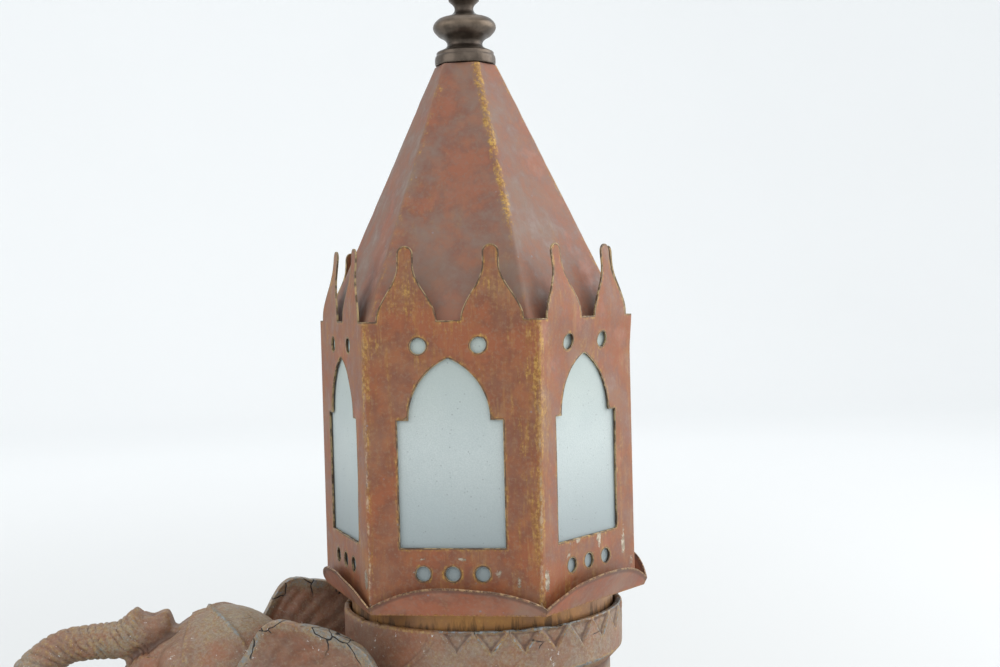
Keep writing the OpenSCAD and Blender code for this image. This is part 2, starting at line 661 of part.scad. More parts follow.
module finial() {
  s = finial_r / 10.4;
  p = [[10.1, 0], [10.4, 0.4], [10.4, 2.6], [10.1, 3.1], [9.8, 3.4], [9.8, 4.3], [9.3, 4.8], [7.4, 5.4],
    [6.2, 6.3], [5.9, 7.2], [6.2, 8.2], [7.3, 9.3], [9, 10], [9.4, 10.6], [10.2, 11.3], [10.8, 12.4],
    [10.8, 13.5], [10.2, 14.6], [9.2, 15.5], [8.6, 16], [5, 16.8], [3.6, 17.8], [3.06, 18.9],
    [3.3, 20.2], [4.3, 21.2], [5.2, 21.9], [5.2, 22.6], [4.3, 23.2], [3.9, 23.8], [5, 25], [5.7, 26.6],
    [5.8, 28.2], [5.2, 30], [3.9, 31.8], [2.2, 33.6], [1.3, 35.2], [0.8, 36.2], [0, 36.5]];
  color([0.16, 0.12, 0.1]) translate([0, 0, roof_top_z + gap]) difference() {
    rotate_extrude($fn = 96) polygon(concat([[0, 0]], [for (q = p) [q[0] * s, q[1]]]));
    translate([0, 0, -1]) cylinder(r = stud_r + 0.08, h = 15.4, $fn = 48);
  }
}
bulb_z = shell_top;
base_z = sock_in_z + 4.2;
module bulb_base() {
  color([0.75, 0.75, 0.76]) translate([0, 0, base_z]) difference() {
    cylinder(r = 13.2, h = bulb_z - base_z, $fn = 96);
    translate([0, 0, 0.6]) cylinder(r = 12.7, h = 60, $fn = 96);
    translate([0, 0, -1]) cylinder(r = 4.6, h = 4, $fn = 48);
  }
}
module bulb_contact() {
  color([0.7, 0.7, 0.7]) translate([0, 0, base_z - 2]) union() {
    cylinder(r = 3, h = 2.6, $fn = 40);
    translate([0, 0, 1]) cylinder(r = 4.6, h = 1.6, $fn = 40);
  }
}
module bulb_glass() {
  r = bulb_r;
  h = bulb_h;
  outer = [[12.7, -4], [12.7, 0], [13, 3], [14, 9], [16.5, 16], [r * 0.86, h * 0.4], [r * 0.97, h * 0.52], [r, h * 0.63],
    [r * 0.96, h * 0.75], [r * 0.83, h * 0.86], [r * 0.6, h * 0.94], [r * 0.32, h * 0.985], [0, h]];
  color([0.95, 0.95, 0.9, 0.4]) translate([0, 0, bulb_z]) rotate_extrude($fn = 96) difference() {
    polygon(concat([[0, -4]], outer));
    polygon([[0, -5], [11.8, -5], [11.8, 3], [13, 9], [15.5, 16], [r * 0.86 - 0.9, h * 0.4],
      [r * 0.97 - 0.9, h * 0.52], [r - 0.9, h * 0.63], [r * 0.96 - 0.9, h * 0.75 - 0.3],
      [r * 0.83 - 0.7, h * 0.86 - 0.7], [r * 0.6 - 0.5, h * 0.94 - 0.9], [0, h - 1.4]]);
  }
}
module bulb_stem() {
  color([0.85, 0.9, 0.92, 0.5]) translate([0, 0, base_z + 0.6]) rotate_extrude($fn = 64)
    polygon([[0, 0], [12.7, 0], [12.7, 1], [4, 4], [3.2, 14], [2.6, bulb_z - base_z + 16], [0, bulb_z - base_z + 16]]);
}
module filament() {
  z = bulb_z + 16.82;
  color([0.4, 0.4, 0.42]) translate([0, 0, z]) union() {
    for (s = [-1, 1]) translate([s * 1.6, 0, 0]) rotate([0, s * 38, 0]) cylinder(r = 0.35, h = 16, $fn = 16);
    for (s = [-1, 1]) translate([s * 1.6 + s * 16 * sin(38), 0, 16 * cos(38)]) sphere(r = 0.6, $fn = 16);
    translate([-1.6 - 16 * sin(38), 0, 16 * cos(38)]) rotate([0, 90, 0])
      cylinder(r = 0.4, h = 3.2 + 32 * sin(38), $fn = 16);
  }
}

base_plinth();
base_cover();
felt_pad();
cover_screws();
base_screws();
cord_bushing();
elephant_left();
elephant_right();
body_screws();
ear_left();
ear_right();
ear_screws();
tusk_left();
tusk_right();
tail();
drum();
lamp_pipe();
pipe_nuts();
pipe_washers();
socket_cap();
socket_shell();
socket_liner();
socket_body();
screw_shell();
centre_contact();
lantern_cage();
lantern_tray();
lantern_collar();
glass_pane_1();
glass_pane_2();
glass_pane_3();
glass_pane_4();
glass_pane_5();
glass_pane_6();
corner_strips();
roof_spider();
finial_stud();
stud_nuts();
roof();
roof_washer();
finial();
bulb_base();
bulb_contact();
bulb_glass();
bulb_stem();
filament();
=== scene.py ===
import json
import math
import bmesh
import bpy
import numpy as np
from mathutils import Matrix, Vector, noise


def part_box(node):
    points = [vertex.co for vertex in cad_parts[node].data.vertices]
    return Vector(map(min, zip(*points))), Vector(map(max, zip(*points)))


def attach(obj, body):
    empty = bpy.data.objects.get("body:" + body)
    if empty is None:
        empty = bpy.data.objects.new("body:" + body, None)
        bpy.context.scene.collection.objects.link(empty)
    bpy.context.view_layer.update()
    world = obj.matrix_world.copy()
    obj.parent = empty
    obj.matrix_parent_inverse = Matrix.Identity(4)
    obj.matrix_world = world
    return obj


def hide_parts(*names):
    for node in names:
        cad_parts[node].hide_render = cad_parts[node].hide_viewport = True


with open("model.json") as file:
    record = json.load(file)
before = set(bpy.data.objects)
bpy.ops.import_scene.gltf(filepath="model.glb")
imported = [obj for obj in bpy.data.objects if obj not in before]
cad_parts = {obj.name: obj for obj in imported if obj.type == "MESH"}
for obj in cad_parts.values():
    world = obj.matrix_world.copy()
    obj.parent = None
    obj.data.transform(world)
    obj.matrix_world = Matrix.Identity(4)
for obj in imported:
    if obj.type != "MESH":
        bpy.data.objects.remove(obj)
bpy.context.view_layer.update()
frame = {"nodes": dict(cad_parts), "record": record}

mm = 0.001
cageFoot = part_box("lantern_cage")[0][2] + 2.5 * mm    # the visible foot of the lantern's walls
lanternTurn = math.radians(-13.4)
sixth = math.radians(60)    # from one of the lantern's six sides to the next
perRadian = 57.3    # degrees


def letGo():
    if bpy.context.object and bpy.context.object.mode != "OBJECT":
        bpy.ops.object.mode_set(mode="OBJECT")
    bpy.ops.object.select_all(action="DESELECT")


def pick(*obs):
    letGo()
    for ob in obs:
        ob.select_set(True)
    bpy.context.view_layer.objects.active = obs[0]
    return obs[0]


def openAll(ob):
    # into edit mode, with all of the mesh selected
    pick(ob)
    bpy.ops.object.mode_set(mode="EDIT")
    bpy.ops.mesh.select_all(action="SELECT")


def openSome(ob, kind, wanted):
    # into edit mode, with the wanted edges or faces selected
    pick(ob)
    bpy.ops.object.mode_set(mode="EDIT")
    bpy.ops.mesh.select_mode(type=kind)
    bm = bmesh.from_edit_mesh(ob.data)
    for piece in bm.edges if kind == "EDGE" else bm.faces:
        piece.select_set(bool(wanted(piece)))
    bmesh.update_edit_mesh(ob.data)


def shut():
    bpy.ops.object.mode_set(mode="OBJECT")


def added(name, data):
    ob = bpy.data.objects.new(name, data)
    bpy.context.collection.objects.link(ob)
    return ob


def coords(ob):
    xyz = np.empty(len(ob.data.vertices) * 3)
    ob.data.vertices.foreach_get("co", xyz)
    return xyz.reshape(-1, 3)


def setCoords(ob, xyz):
    ob.data.vertices.foreach_set("co", np.ascontiguousarray(xyz, dtype=np.float64).ravel())
    ob.data.update()


def normals(ob):
    found = np.empty(len(ob.data.vertices) * 3, np.float32)
    ob.data.vertex_normals.foreach_get("vector", found)
    return found.reshape(-1, 3).astype(float)


def setMask(ob, name, values):
    kept = ob.data.attributes.get(name) or ob.data.attributes.new(name, "FLOAT", "POINT")
    kept.data.foreach_set("value", np.ascontiguousarray(values, dtype=np.float32))


def applyAll(ob):
    pick(ob)
    for mod in list(ob.modifiers):
        bpy.ops.object.modifier_apply(modifier=mod.name)
    return ob


def modify(ob, kind, **settings):
    mod = ob.modifiers.new(kind.lower(), kind)
    for key, value in settings.items():
        setattr(mod, key, value)
    return applyAll(ob)


def bakePlace(ob):
    pick(ob)
    bpy.ops.object.transform_apply(location=True, rotation=True, scale=True)
    return ob


def joined(obs, name):
    pick(*obs)
    if len(obs) > 1:
        bpy.ops.object.join()
    ob = bpy.context.object
    ob.name = name
    ob.data.name = name
    return ob


def smoothed(ob, angle=35):
    pick(ob)
    bpy.ops.object.shade_smooth_by_angle(angle=math.radians(angle))
    return ob


def weld(ob, dist=1e-6, outside=False):
    openAll(ob)
    bpy.ops.mesh.remove_doubles(threshold=dist)
    if outside:
        bpy.ops.mesh.normals_make_consistent(inside=False)
    shut()
    return ob


def finish(ob, body, slot, material, *nodes):
    ob.data.materials.clear()
    ob.data.materials.append(material)
    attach(ob, body)
    if nodes:
        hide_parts(*nodes)
    return ob


def roughField(xyz, size, seed=0.0, octaves=3):
    # value noise at each point, about -1 to 1
    move = Vector((seed * 3.1, seed * 1.7, seed * 2.3))
    return np.array([noise.fractal(Vector(p) / size + move, 1.0, 2.0, octaves) for p in xyz])


def ramp(x, low, high):
    t = np.clip((np.asarray(x, float) - low) / (high - low), 0, 1)
    return t * t * (3 - 2 * t)


def turned(xyz, angle):
    c, s = math.cos(angle), math.sin(angle)
    out = np.array(xyz, float)
    out[:, 0], out[:, 1] = xyz[:, 0] * c - xyz[:, 1] * s, xyz[:, 0] * s + xyz[:, 1] * c
    return out


# where the camera stands, in mm from the lantern's foot, and its turns, in degrees
camera = {"across": 9.46, "back": 471.1, "above": 95.9, "turn": -4.7, "down": 1.72, "roll": -1.475,
          "lens": 49.354}


def makeCamera():
    turn, down, roll = (math.radians(camera[k]) for k in ("turn", "down", "roll"))
    right = Vector((math.cos(turn), math.sin(turn), 0))
    ahead = Vector((-math.sin(turn) * math.cos(down), math.cos(turn) * math.cos(down), -math.sin(down)))
    up = right.cross(ahead)
    x = right * math.cos(roll) + up * math.sin(roll)
    y = up * math.cos(roll) - right * math.sin(roll)
    spot = turned(np.array([[camera["across"], -camera["back"], 0]]), turn)[0] * mm
    place = Matrix((x, y, -ahead)).transposed().to_4x4()
    place.translation = Vector((spot[0], spot[1], cageFoot + camera["above"] * mm))
    lens = bpy.data.cameras.new("camera")
    lens.lens, lens.sensor_width = camera["lens"], 36
    lens.clip_start, lens.clip_end = 0.01, 50
    ob = added("camera", lens)
    ob.matrix_world = place
    bpy.context.scene.camera = ob
    print("camera stands")


makeCamera()


def tone(red, green, blue):    # screen values to the shader's own
    def line(v):
        v /= 255
        return v / 12.92 if v <= 0.04045 else ((v + 0.055) / 1.055) ** 2.4
    return (line(red), line(green), line(blue), 1)


class Net:
    # short words for building a node tree
    def __init__(self, tree):
        self.tree = tree

    def node(self, kind, **settings):
        made = self.tree.nodes.new(kind)
        for key, value in settings.items():
            setattr(made, key, value)
        return made

    def feed(self, socket, value):
        if hasattr(value, "links"):
            self.tree.links.new(value, socket)
        else:
            socket.default_value = value

    def math(self, what, a, b, clamp=False):
        made = self.node("ShaderNodeMath", operation=what, use_clamp=clamp)
        self.feed(made.inputs[0], a)
        self.feed(made.inputs[1], b)
        return made.outputs[0]

    def times(self, a, b, clamp=False):
        return self.math("MULTIPLY", a, b, clamp)

    def plus(self, a, b, clamp=False):
        return self.math("ADD", a, b, clamp)

    def most(self, a, b, clamp=False):
        return self.math("MAXIMUM", a, b, clamp)

    def rest(self, a):
        return self.math("SUBTRACT", 1.0, a)

    def mix(self, amount, a, b, how="MIX"):
        made = self.node("ShaderNodeMix", data_type="RGBA", blend_type=how)
        self.feed(made.inputs[0], amount)
        self.feed(made.inputs[6], a)
        self.feed(made.inputs[7], b)
        return made.outputs[2]

    def blend(self, amount, a, b):
        made = self.node("ShaderNodeMix", data_type="FLOAT")
        self.feed(made.inputs[0], amount)
        self.feed(made.inputs[2], a)
        self.feed(made.inputs[3], b)
        return made.outputs[0]

    def ramp(self, value, low, high, to=(0.0, 1.0)):
        made = self.node("ShaderNodeMapRange", interpolation_type="SMOOTHSTEP")
        self.feed(made.inputs[0], value)
        for i, v in enumerate((low, high, *to), 1):
            self.feed(made.inputs[i], v)
        return made.outputs[0]

    def place(self, scale=(1, 1, 1)):
        spot = self.node("ShaderNodeTexCoord").outputs["Object"]
        if tuple(scale) == (1, 1, 1):
            return spot
        made = self.node("ShaderNodeMapping")
        made.inputs["Scale"].default_value = scale
        self.feed(made.inputs["Vector"], spot)
        return made.outputs[0]

    def grain(self, size, detail=4.0, rough=0.55, spot=None, stretch=(1, 1, 1), warp=0.0):
        made = self.node("ShaderNodeTexNoise")
        self.feed(made.inputs["Vector"], spot if spot is not None else self.place(stretch))
        made.inputs["Scale"].default_value = 1 / size
        made.inputs["Detail"].default_value = detail
        made.inputs["Roughness"].default_value = rough
        made.inputs["Distortion"].default_value = warp
        return made.outputs["Fac"]

    def cells(self, size, feature="F1", spot=None, out="Distance"):
        made = self.node("ShaderNodeTexVoronoi", feature=feature)
        self.feed(made.inputs["Vector"], spot if spot is not None else self.place())
        made.inputs["Scale"].default_value = 1 / size
        return made.outputs[out]

    def mask(self, name):
        return self.node("ShaderNodeAttribute", attribute_name=name).outputs["Fac"]

    def bump(self, height, depth, strength=1.0, under=None):
        made = self.node("ShaderNodeBump")
        made.inputs["Strength"].default_value = strength
        made.inputs["Distance"].default_value = depth
        self.feed(made.inputs["Height"], height)
        if under is not None:
            self.feed(made.inputs["Normal"], under)
        return made.outputs[0]


def newMaterial(name):
    made = bpy.data.materials.new(name)
    made.use_nodes = True
    net = Net(made.node_tree)
    return made, net, made.node_tree.nodes["Principled BSDF"].inputs


def newGroup(name, inputs, outputs):
    tree = bpy.data.node_groups.new(name, "ShaderNodeTree")
    kinds = {"c": "NodeSocketColor", "f": "NodeSocketFloat", "v": "NodeSocketVector"}
    for label, kind, value in inputs:
        made = tree.interface.new_socket(name=label, in_out="INPUT", socket_type=kinds[kind])
        if value is not None:
            made.default_value = value
    for label, kind in outputs:
        tree.interface.new_socket(name=label, in_out="OUTPUT", socket_type=kinds[kind])
    net = Net(tree)
    return tree, net, net.node("NodeGroupInput").outputs, net.node("NodeGroupOutput").inputs


def useGroup(net, tree, **values):
    made = net.node("ShaderNodeGroup")
    made.node_tree = tree
    for key, value in values.items():
        net.feed(made.inputs[key], value)
    return made.outputs


def makeOldPaint():
    # terracotta paint, cloudy, with a dull bloom over it and brushed gold showing through
    tree, n, given, out = newGroup("oldPaint", [
        ("Paint", "c", tone(152, 84, 56)), ("Bloom", "c", tone(128, 112, 104)),
        ("Gold", "c", tone(190, 140, 52)), ("Bloom Amount", "f", 0.4), ("Gold Amount", "f", 0.2),
        ("Gild", "f", 0.0), ("Speck", "f", 0.3), ("Streak", "f", 1.0)],
        [("Color", "c"), ("Gold Mask", "f"), ("Rough", "f"), ("Height", "f")])
    cloud = n.grain(0.019, 5, 0.66, warp=0.1)
    mottle = n.grain(0.006, 4, 0.65)
    fine = n.grain(0.0011, 3, 0.6)
    streak = n.grain(0.0035, 4, 0.7, stretch=(1, 1, 0.09))
    hair = n.grain(0.0009, 2, 0.6, stretch=(1, 1, 0.05))
    darker = n.mix(1.0, given["Paint"], tone(206, 176, 160), "MULTIPLY")
    redder = n.mix(1.0, given["Paint"], tone(255, 238, 226), "MULTIPLY")
    base = n.mix(n.ramp(mottle, 0.35, 0.68), darker, given["Paint"])
    base = n.mix(n.ramp(cloud, 0.52, 0.64), base, redder)
    bloomMask = n.times(n.ramp(n.plus(cloud, n.times(mottle, 0.35)), 0.78, 0.48),
                       given["Bloom Amount"])
    base = n.mix(bloomMask, base, given["Bloom"])
    base = n.mix(n.times(n.ramp(fine, 0.48, 0.7), 0.4), base, given["Bloom"])
    lines = n.times(n.plus(n.ramp(streak, 0.5, 0.66), n.times(n.ramp(hair, 0.5, 0.72), 0.5)),
                   given["Streak"])
    patch = n.ramp(n.grain(0.016, 3, 0.6, stretch=(1, 1, 0.5)), 0.45, 0.66)
    rubbed = n.times(n.times(lines, patch), given["Gold Amount"])
    wash = n.times(n.ramp(n.grain(0.0026, 5, 0.8, stretch=(1, 0.8, 0.11)), 0.47, 0.7), given["Streak"])
    wash = n.times(wash, n.ramp(n.grain(0.011, 4, 0.7, stretch=(1, 1, 0.6)), 0.4, 0.6, (0.15, 1.1)))
    wash = n.times(wash, n.plus(given["Gold Amount"], given["Gild"]), True)
    base = n.mix(n.times(wash, 0.55), base, n.mix(0.45, given["Paint"], given["Gold"]))
    brushed = n.grain(0.0013, 5, 0.8, stretch=(1, 1, 0.1))
    broken = n.plus(n.times(brushed, 0.8),
                    n.times(n.grain(0.0005, 3, 0.7, stretch=(1, 1, 0.35)), 0.5))
    broken = n.plus(broken, n.times(given["Gild"], 0.28))
    gildIn = n.times(n.ramp(given["Gild"], 0.05, 0.5), n.ramp(broken, 0.72, 1.04))
    goldMask = n.most(rubbed, gildIn, True)
    goldTone = n.mix(n.ramp(fine, 0.35, 0.65), n.mix(1.0, given["Gold"], tone(170, 150, 130), "MULTIPLY"),
                     given["Gold"])
    base = n.mix(n.times(goldMask, 0.85), base, goldTone)
    dots = n.ramp(n.cells(0.0042), 0.11, 0.07)
    dots = n.times(dots, n.ramp(n.grain(0.012, 2), 0.56, 0.62))
    base = n.mix(n.times(dots, given["Speck"]), base, tone(116, 124, 132))
    n.feed(out["Color"], base)
    n.feed(out["Gold Mask"], goldMask)
    n.feed(out["Rough"], n.ramp(n.plus(mottle, n.times(fine, 0.4)), 0.4, 0.9, (0.42, 0.66)))
    n.feed(out["Height"], n.plus(n.times(mottle, 0.5), n.times(fine, 0.35)))
    return tree


def makeBareMetal():
    # chips and scuffs down to grey zinc, ragged at their rims
    tree, n, given, out = newGroup("bareMetal", [
        ("Under", "c", tone(140, 90, 60)), ("Zinc", "c", tone(150, 152, 150)), ("Amount", "f", 0.0),
        ("Size", "f", 1.0)], [("Color", "c"), ("Mask", "f")])
    ragged = n.plus(n.grain(0.0027, 7, 0.85), n.times(n.grain(0.0008, 3, 0.7), 0.36))
    chipped = n.ramp(n.plus(n.times(ragged, 0.9), given["Amount"]), 1.04, 1.12)
    dull = n.mix(n.ramp(n.grain(0.002, 3), 0.35, 0.65),
                 n.mix(1.0, given["Zinc"], tone(190, 180, 168), "MULTIPLY"), given["Zinc"])
    n.feed(out["Color"], n.mix(chipped, given["Under"], dull))
    n.feed(out["Mask"], chipped)
    return tree


oldPaint = makeOldPaint()
bareMetal = makeBareMetal()


def sheetPaint():
    made, n, shader = newMaterial("terracottaSheet")
    edge = n.mask("edge")
    fold = n.mask("fold")
    wobble = n.grain(0.003, 3, 0.6)
    nearEdge = n.ramp(n.plus(edge, n.times(wobble, 1.8)), 2.6, 1.0)
    nearFold = n.ramp(n.plus(fold, n.times(wobble, 2.4)), 4.2, 2.2)
    gild = n.most(n.mask("gild"), n.times(nearEdge, 0.9), True)
    gild = n.most(gild, n.times(nearFold, n.mask("foldGild")), True)
    paint = useGroup(n, oldPaint, **{"Paint": tone(132, 77, 43), "Bloom": tone(128, 100, 78),
                                     "Gold": tone(182, 144, 70), "Bloom Amount": 0.4, "Gold Amount": 0.6,
                                     "Gild": gild, "Speck": 0.4})
    bare = useGroup(n, bareMetal, **{"Under": paint["Color"], "Zinc": tone(168, 158, 142),
                                     "Amount": n.times(n.mask("bare"), 2.1)})
    rimLine = n.ramp(edge, 0.62, 0.38)
    rimCore = n.ramp(edge, 0.3, 0.12)
    dark = n.times(rimLine, n.ramp(n.grain(0.004, 3), 0.3, 0.55))
    colour = n.mix(n.times(dark, 0.8), bare["Color"], tone(58, 44, 40))
    rimTone = n.mix(n.ramp(wobble, 0.4, 0.6), tone(84, 68, 54), tone(170, 150, 112))
    colour = n.mix(n.times(rimCore, 0.8), colour, rimTone)
    foldShine = n.times(n.ramp(n.plus(fold, n.times(wobble, 1.6)), 1.7, 0.9), n.mask("foldBare"))
    foldShine = n.times(foldShine, n.ramp(n.grain(0.0016, 4, 0.7), 0.42, 0.6))
    foldTone = n.mix(n.ramp(n.grain(0.0022, 3), 0.5, 0.62), tone(186, 170, 146), tone(96, 98, 104))
    colour = n.mix(n.times(foldShine, 0.85), colour, foldTone)
    n.feed(shader["Base Color"], colour)
    metal = n.most(n.times(paint["Gold Mask"], 0.55), n.most(bare["Mask"], rimCore), True)
    n.feed(shader["Metallic"], n.times(metal, 0.6))
    n.feed(shader["Roughness"], n.blend(bare["Mask"], paint["Rough"], 0.4))
    shader["Specular IOR Level"].default_value = 0.55
    low = n.bump(paint["Height"], 0.00022, 0.5)
    n.feed(shader["Normal"], n.bump(n.rest(bare["Mask"]), 0.00008, 0.6, low))
    return made


def roofPaint():
    made, n, shader = newMaterial("dulledRoofPaint")
    fold = n.mask("fold")
    wobble = n.grain(0.0035, 4, 0.65)
    nearFold = n.ramp(n.plus(fold, n.times(wobble, 3.6)), 4.3, 2.4)
    gild = n.times(nearFold, n.mask("foldGild"))
    gild = n.times(gild, n.ramp(n.grain(0.0012, 3, 0.7), 0.3, 0.5))
    gild = n.most(gild, n.mask("gild"), True)
    paint = useGroup(n, oldPaint, **{"Paint": tone(128, 79, 55), "Bloom": tone(112, 92, 80),
                                     "Gold": tone(190, 150, 62), "Bloom Amount": 0.85, "Gold Amount": 0.22,
                                     "Speck": 0.6, "Gild": n.times(gild, 1.3), "Streak": 0.5})
    bare = useGroup(n, bareMetal, **{"Under": paint["Color"], "Zinc": tone(120, 124, 132),
                                     "Amount": n.mask("bare")})
    haze = n.ramp(n.mask("haze"), 0.0, 1.0)
    colour = n.mix(n.times(haze, 0.35), bare["Color"], tone(114, 96, 82))
    n.feed(shader["Base Color"], colour)
    n.feed(shader["Metallic"], n.times(paint["Gold Mask"], 0.35))
    n.feed(shader["Roughness"], n.plus(paint["Rough"], 0.02))
    shader["Specular IOR Level"].default_value = 0.55
    n.feed(shader["Normal"], n.bump(paint["Height"], 0.0002, 0.5))
    return made


def castPaint(name, paint=(128, 83, 60), bloom=(128, 107, 93), gold=(172, 138, 72), goldAmount=0.5,
              zinc=0.0, crackSize=0.0):
    made, n, shader = newMaterial(name)
    peak = n.mask("peak")
    worn = n.mask("worn")
    break1 = n.grain(0.0034, 6, 0.75)
    break2 = n.grain(0.0008, 4, 0.7)
    ragged = n.plus(n.times(break1, 0.7), n.times(break2, 0.4))
    goldIn = n.ramp(n.plus(n.plus(n.times(peak, 0.55), n.times(worn, 0.35)), ragged),
                    0.74, 0.98)
    goldIn = n.times(goldIn, n.ramp(n.grain(0.02, 3), 0.3, 0.55, (0.35, 1.0)))
    coat = useGroup(n, oldPaint, **{"Paint": tone(*paint), "Bloom": tone(*bloom), "Gold": tone(*gold),
                                    "Bloom Amount": 0.55, "Gold Amount": 0.12, "Speck": 0.2,
                                    "Gild": n.times(goldIn, goldAmount), "Streak": 0.3})
    amount = n.plus(n.times(peak, 0.3), n.times(worn, 0.34))
    amount = n.plus(amount, zinc)
    bare = useGroup(n, bareMetal, **{"Under": coat["Color"], "Zinc": tone(134, 142, 148), "Amount": amount})
    whites = n.times(n.ramp(n.grain(0.0014, 3, 0.7), 0.64, 0.71), n.ramp(n.grain(0.011, 3), 0.47, 0.6))
    flecks = n.ramp(n.plus(n.grain(0.0011, 3, 0.8), n.times(worn, 0.1)), 0.56, 0.66)
    olive = n.mix(n.times(flecks, n.blend(worn, 0.15, 0.55)), bare["Color"], tone(150, 126, 84))
    dusty = n.ramp(n.plus(n.grain(0.0018, 4, 0.8), n.times(worn, 0.12)), 0.52, 0.65)
    olive = n.mix(n.times(dusty, n.blend(worn, 0.1, 0.5)), olive, tone(126, 124, 116))
    tint = n.times(n.blend(worn, 0.1, 0.7), n.blend(n.grain(0.009, 4, 0.7), 0.35, 1.0))
    olive = n.mix(n.times(tint, n.rest(bare["Mask"])), olive,
                  n.mix(n.ramp(break2, 0.42, 0.58), tone(118, 100, 68), tone(140, 130, 112)))
    colour = n.mix(n.times(whites, 0.75), olive, tone(205, 208, 206))
    # darker brown in the hollows, where the peak mask is below zero: painted shade
    darkening = n.ramp(n.mask("peak"), -0.1, -0.75)
    colour = n.mix(n.times(darkening, 0.6), colour, tone(66, 44, 36))
    height = n.plus(n.times(break1, 0.6), n.times(break2, 0.5))
    bumped = n.bump(height, 0.0004, 0.45)
    if crackSize:
        bent = n.node("ShaderNodeVectorMath", operation="ADD")
        wave = n.node("ShaderNodeTexNoise")
        wave.inputs["Scale"].default_value = 160
        n.feed(wave.inputs["Vector"], n.place())
        small = n.node("ShaderNodeVectorMath", operation="SCALE")
        n.feed(small.inputs[0], wave.outputs["Color"])
        small.inputs["Scale"].default_value = 0.005
        n.feed(bent.inputs[0], n.place())
        n.feed(bent.inputs[1], small.outputs[0])
        seam = n.cells(crackSize, "DISTANCE_TO_EDGE", bent.outputs[0])
        line = n.times(n.ramp(seam, 0.022, 0.008), n.ramp(n.mask("crack"), 0.35, 0.7))
        colour = n.mix(line, colour, tone(24, 18, 17))
        bumped = n.bump(n.rest(line), 0.0003, 0.8, bumped)
    n.feed(shader["Base Color"], colour)
    n.feed(shader["Metallic"], n.times(n.most(n.times(coat["Gold Mask"], 0.5), bare["Mask"]), 0.45))
    n.feed(shader["Roughness"], n.plus(coat["Rough"], 0.02))
    n.feed(shader["Normal"], bumped)
    return made


def frostedGlass():
    made, n, shader = newMaterial("frostedPane")
    grainy = n.grain(0.00045, 2, 0.7)
    cloud = n.grain(0.018, 3, 0.5)
    z = n.node("ShaderNodeSeparateXYZ")
    n.feed(z.inputs[0], n.place())
    # the pane is painted darker toward its foot and greyer-green toward its top, where it stands behind the
    # walls and under the roof: painted shade
    low = n.ramp(z.outputs[2], cageFoot + 0.05, cageFoot + 0.008)
    dust = n.times(n.ramp(n.cells(0.0016), 0.2, 0.1), n.ramp(n.grain(0.004, 2), 0.45, 0.6))
    colour = n.mix(n.ramp(grainy, 0.3, 0.7), tone(193, 204, 203), tone(208, 217, 216))
    colour = n.mix(n.times(low, 0.75), colour, tone(138, 150, 154))
    high = n.ramp(z.outputs[2], cageFoot + 0.045, cageFoot + 0.08)
    colour = n.mix(n.times(high, 0.6), colour, tone(180, 192, 184))
    colour = n.mix(n.times(n.ramp(cloud, 0.4, 0.65), 0.2), colour, tone(176, 190, 192))
    colour = n.mix(n.times(dust, 0.5), colour, tone(120, 128, 130))
    n.feed(shader["Base Color"], colour)
    shader["Transmission Weight"].default_value = 0.3
    shader["Specular IOR Level"].default_value = 0.25
    shader["IOR"].default_value = 1.5
    n.feed(shader["Roughness"], n.ramp(grainy, 0.2, 0.8, (0.5, 0.75)))
    n.feed(shader["Normal"], n.bump(grainy, 0.00012, 0.5))
    return made


def plainMetal(name, colour, rough, metal=1.0, darkening=0.4, grimeTone=(60, 46, 34), streak=(1, 1, 1)):
    made, n, shader = newMaterial(name)
    patchy = n.grain(0.006, 4, 0.6, stretch=streak)
    fine = n.grain(0.0008, 3, 0.6, stretch=streak)
    dull = n.mix(n.times(n.ramp(patchy, 0.42, 0.62), darkening), tone(*colour), tone(*grimeTone))
    n.feed(shader["Base Color"], n.mix(n.times(n.ramp(fine, 0.4, 0.7), 0.2), dull, tone(*grimeTone)))
    shader["Metallic"].default_value = metal
    n.feed(shader["Roughness"], n.ramp(n.plus(patchy, n.times(fine, 0.4)), 0.45, 0.95,
                                              (rough, min(rough + 0.22, 1))))
    n.feed(shader["Normal"], n.bump(fine, 0.00006, 0.4))
    return made


def collarBrass():
    made, n, shader = newMaterial("tarnishedShadedCollar")
    drip = n.grain(0.0026, 4, 0.7, stretch=(1, 1, 0.16))
    fine = n.grain(0.0012, 3, 0.6)
    z = n.node("ShaderNodeSeparateXYZ")
    n.feed(z.inputs[0], n.place())
    # tarnish drips, and a darkening toward the foot where the collar goes into the drum's mouth, which is
    # painted shade
    low = n.ramp(z.outputs[2], cageFoot - 0.0045, cageFoot - 0.0105)
    foot = n.ramp(z.outputs[2], cageFoot - 0.0095, cageFoot - 0.0125)
    dark = n.plus(n.ramp(n.plus(drip, n.times(low, 0.12)), 0.56, 0.74), foot, True)
    colour = n.mix(n.ramp(n.grain(0.01, 3), 0.35, 0.65), tone(150, 106, 56), tone(128, 92, 62))
    colour = n.mix(n.times(dark, n.blend(low, 0.25, 0.8)), colour, tone(58, 46, 36))
    colour = n.mix(n.times(n.ramp(fine, 0.55, 0.75), 0.3), colour, tone(178, 140, 70))
    n.feed(shader["Base Color"], colour)
    shader["Metallic"].default_value = 0.45
    n.feed(shader["Roughness"], n.blend(dark, 0.42, 0.6))
    n.feed(shader["Normal"], n.bump(fine, 0.0001, 0.5))
    return made


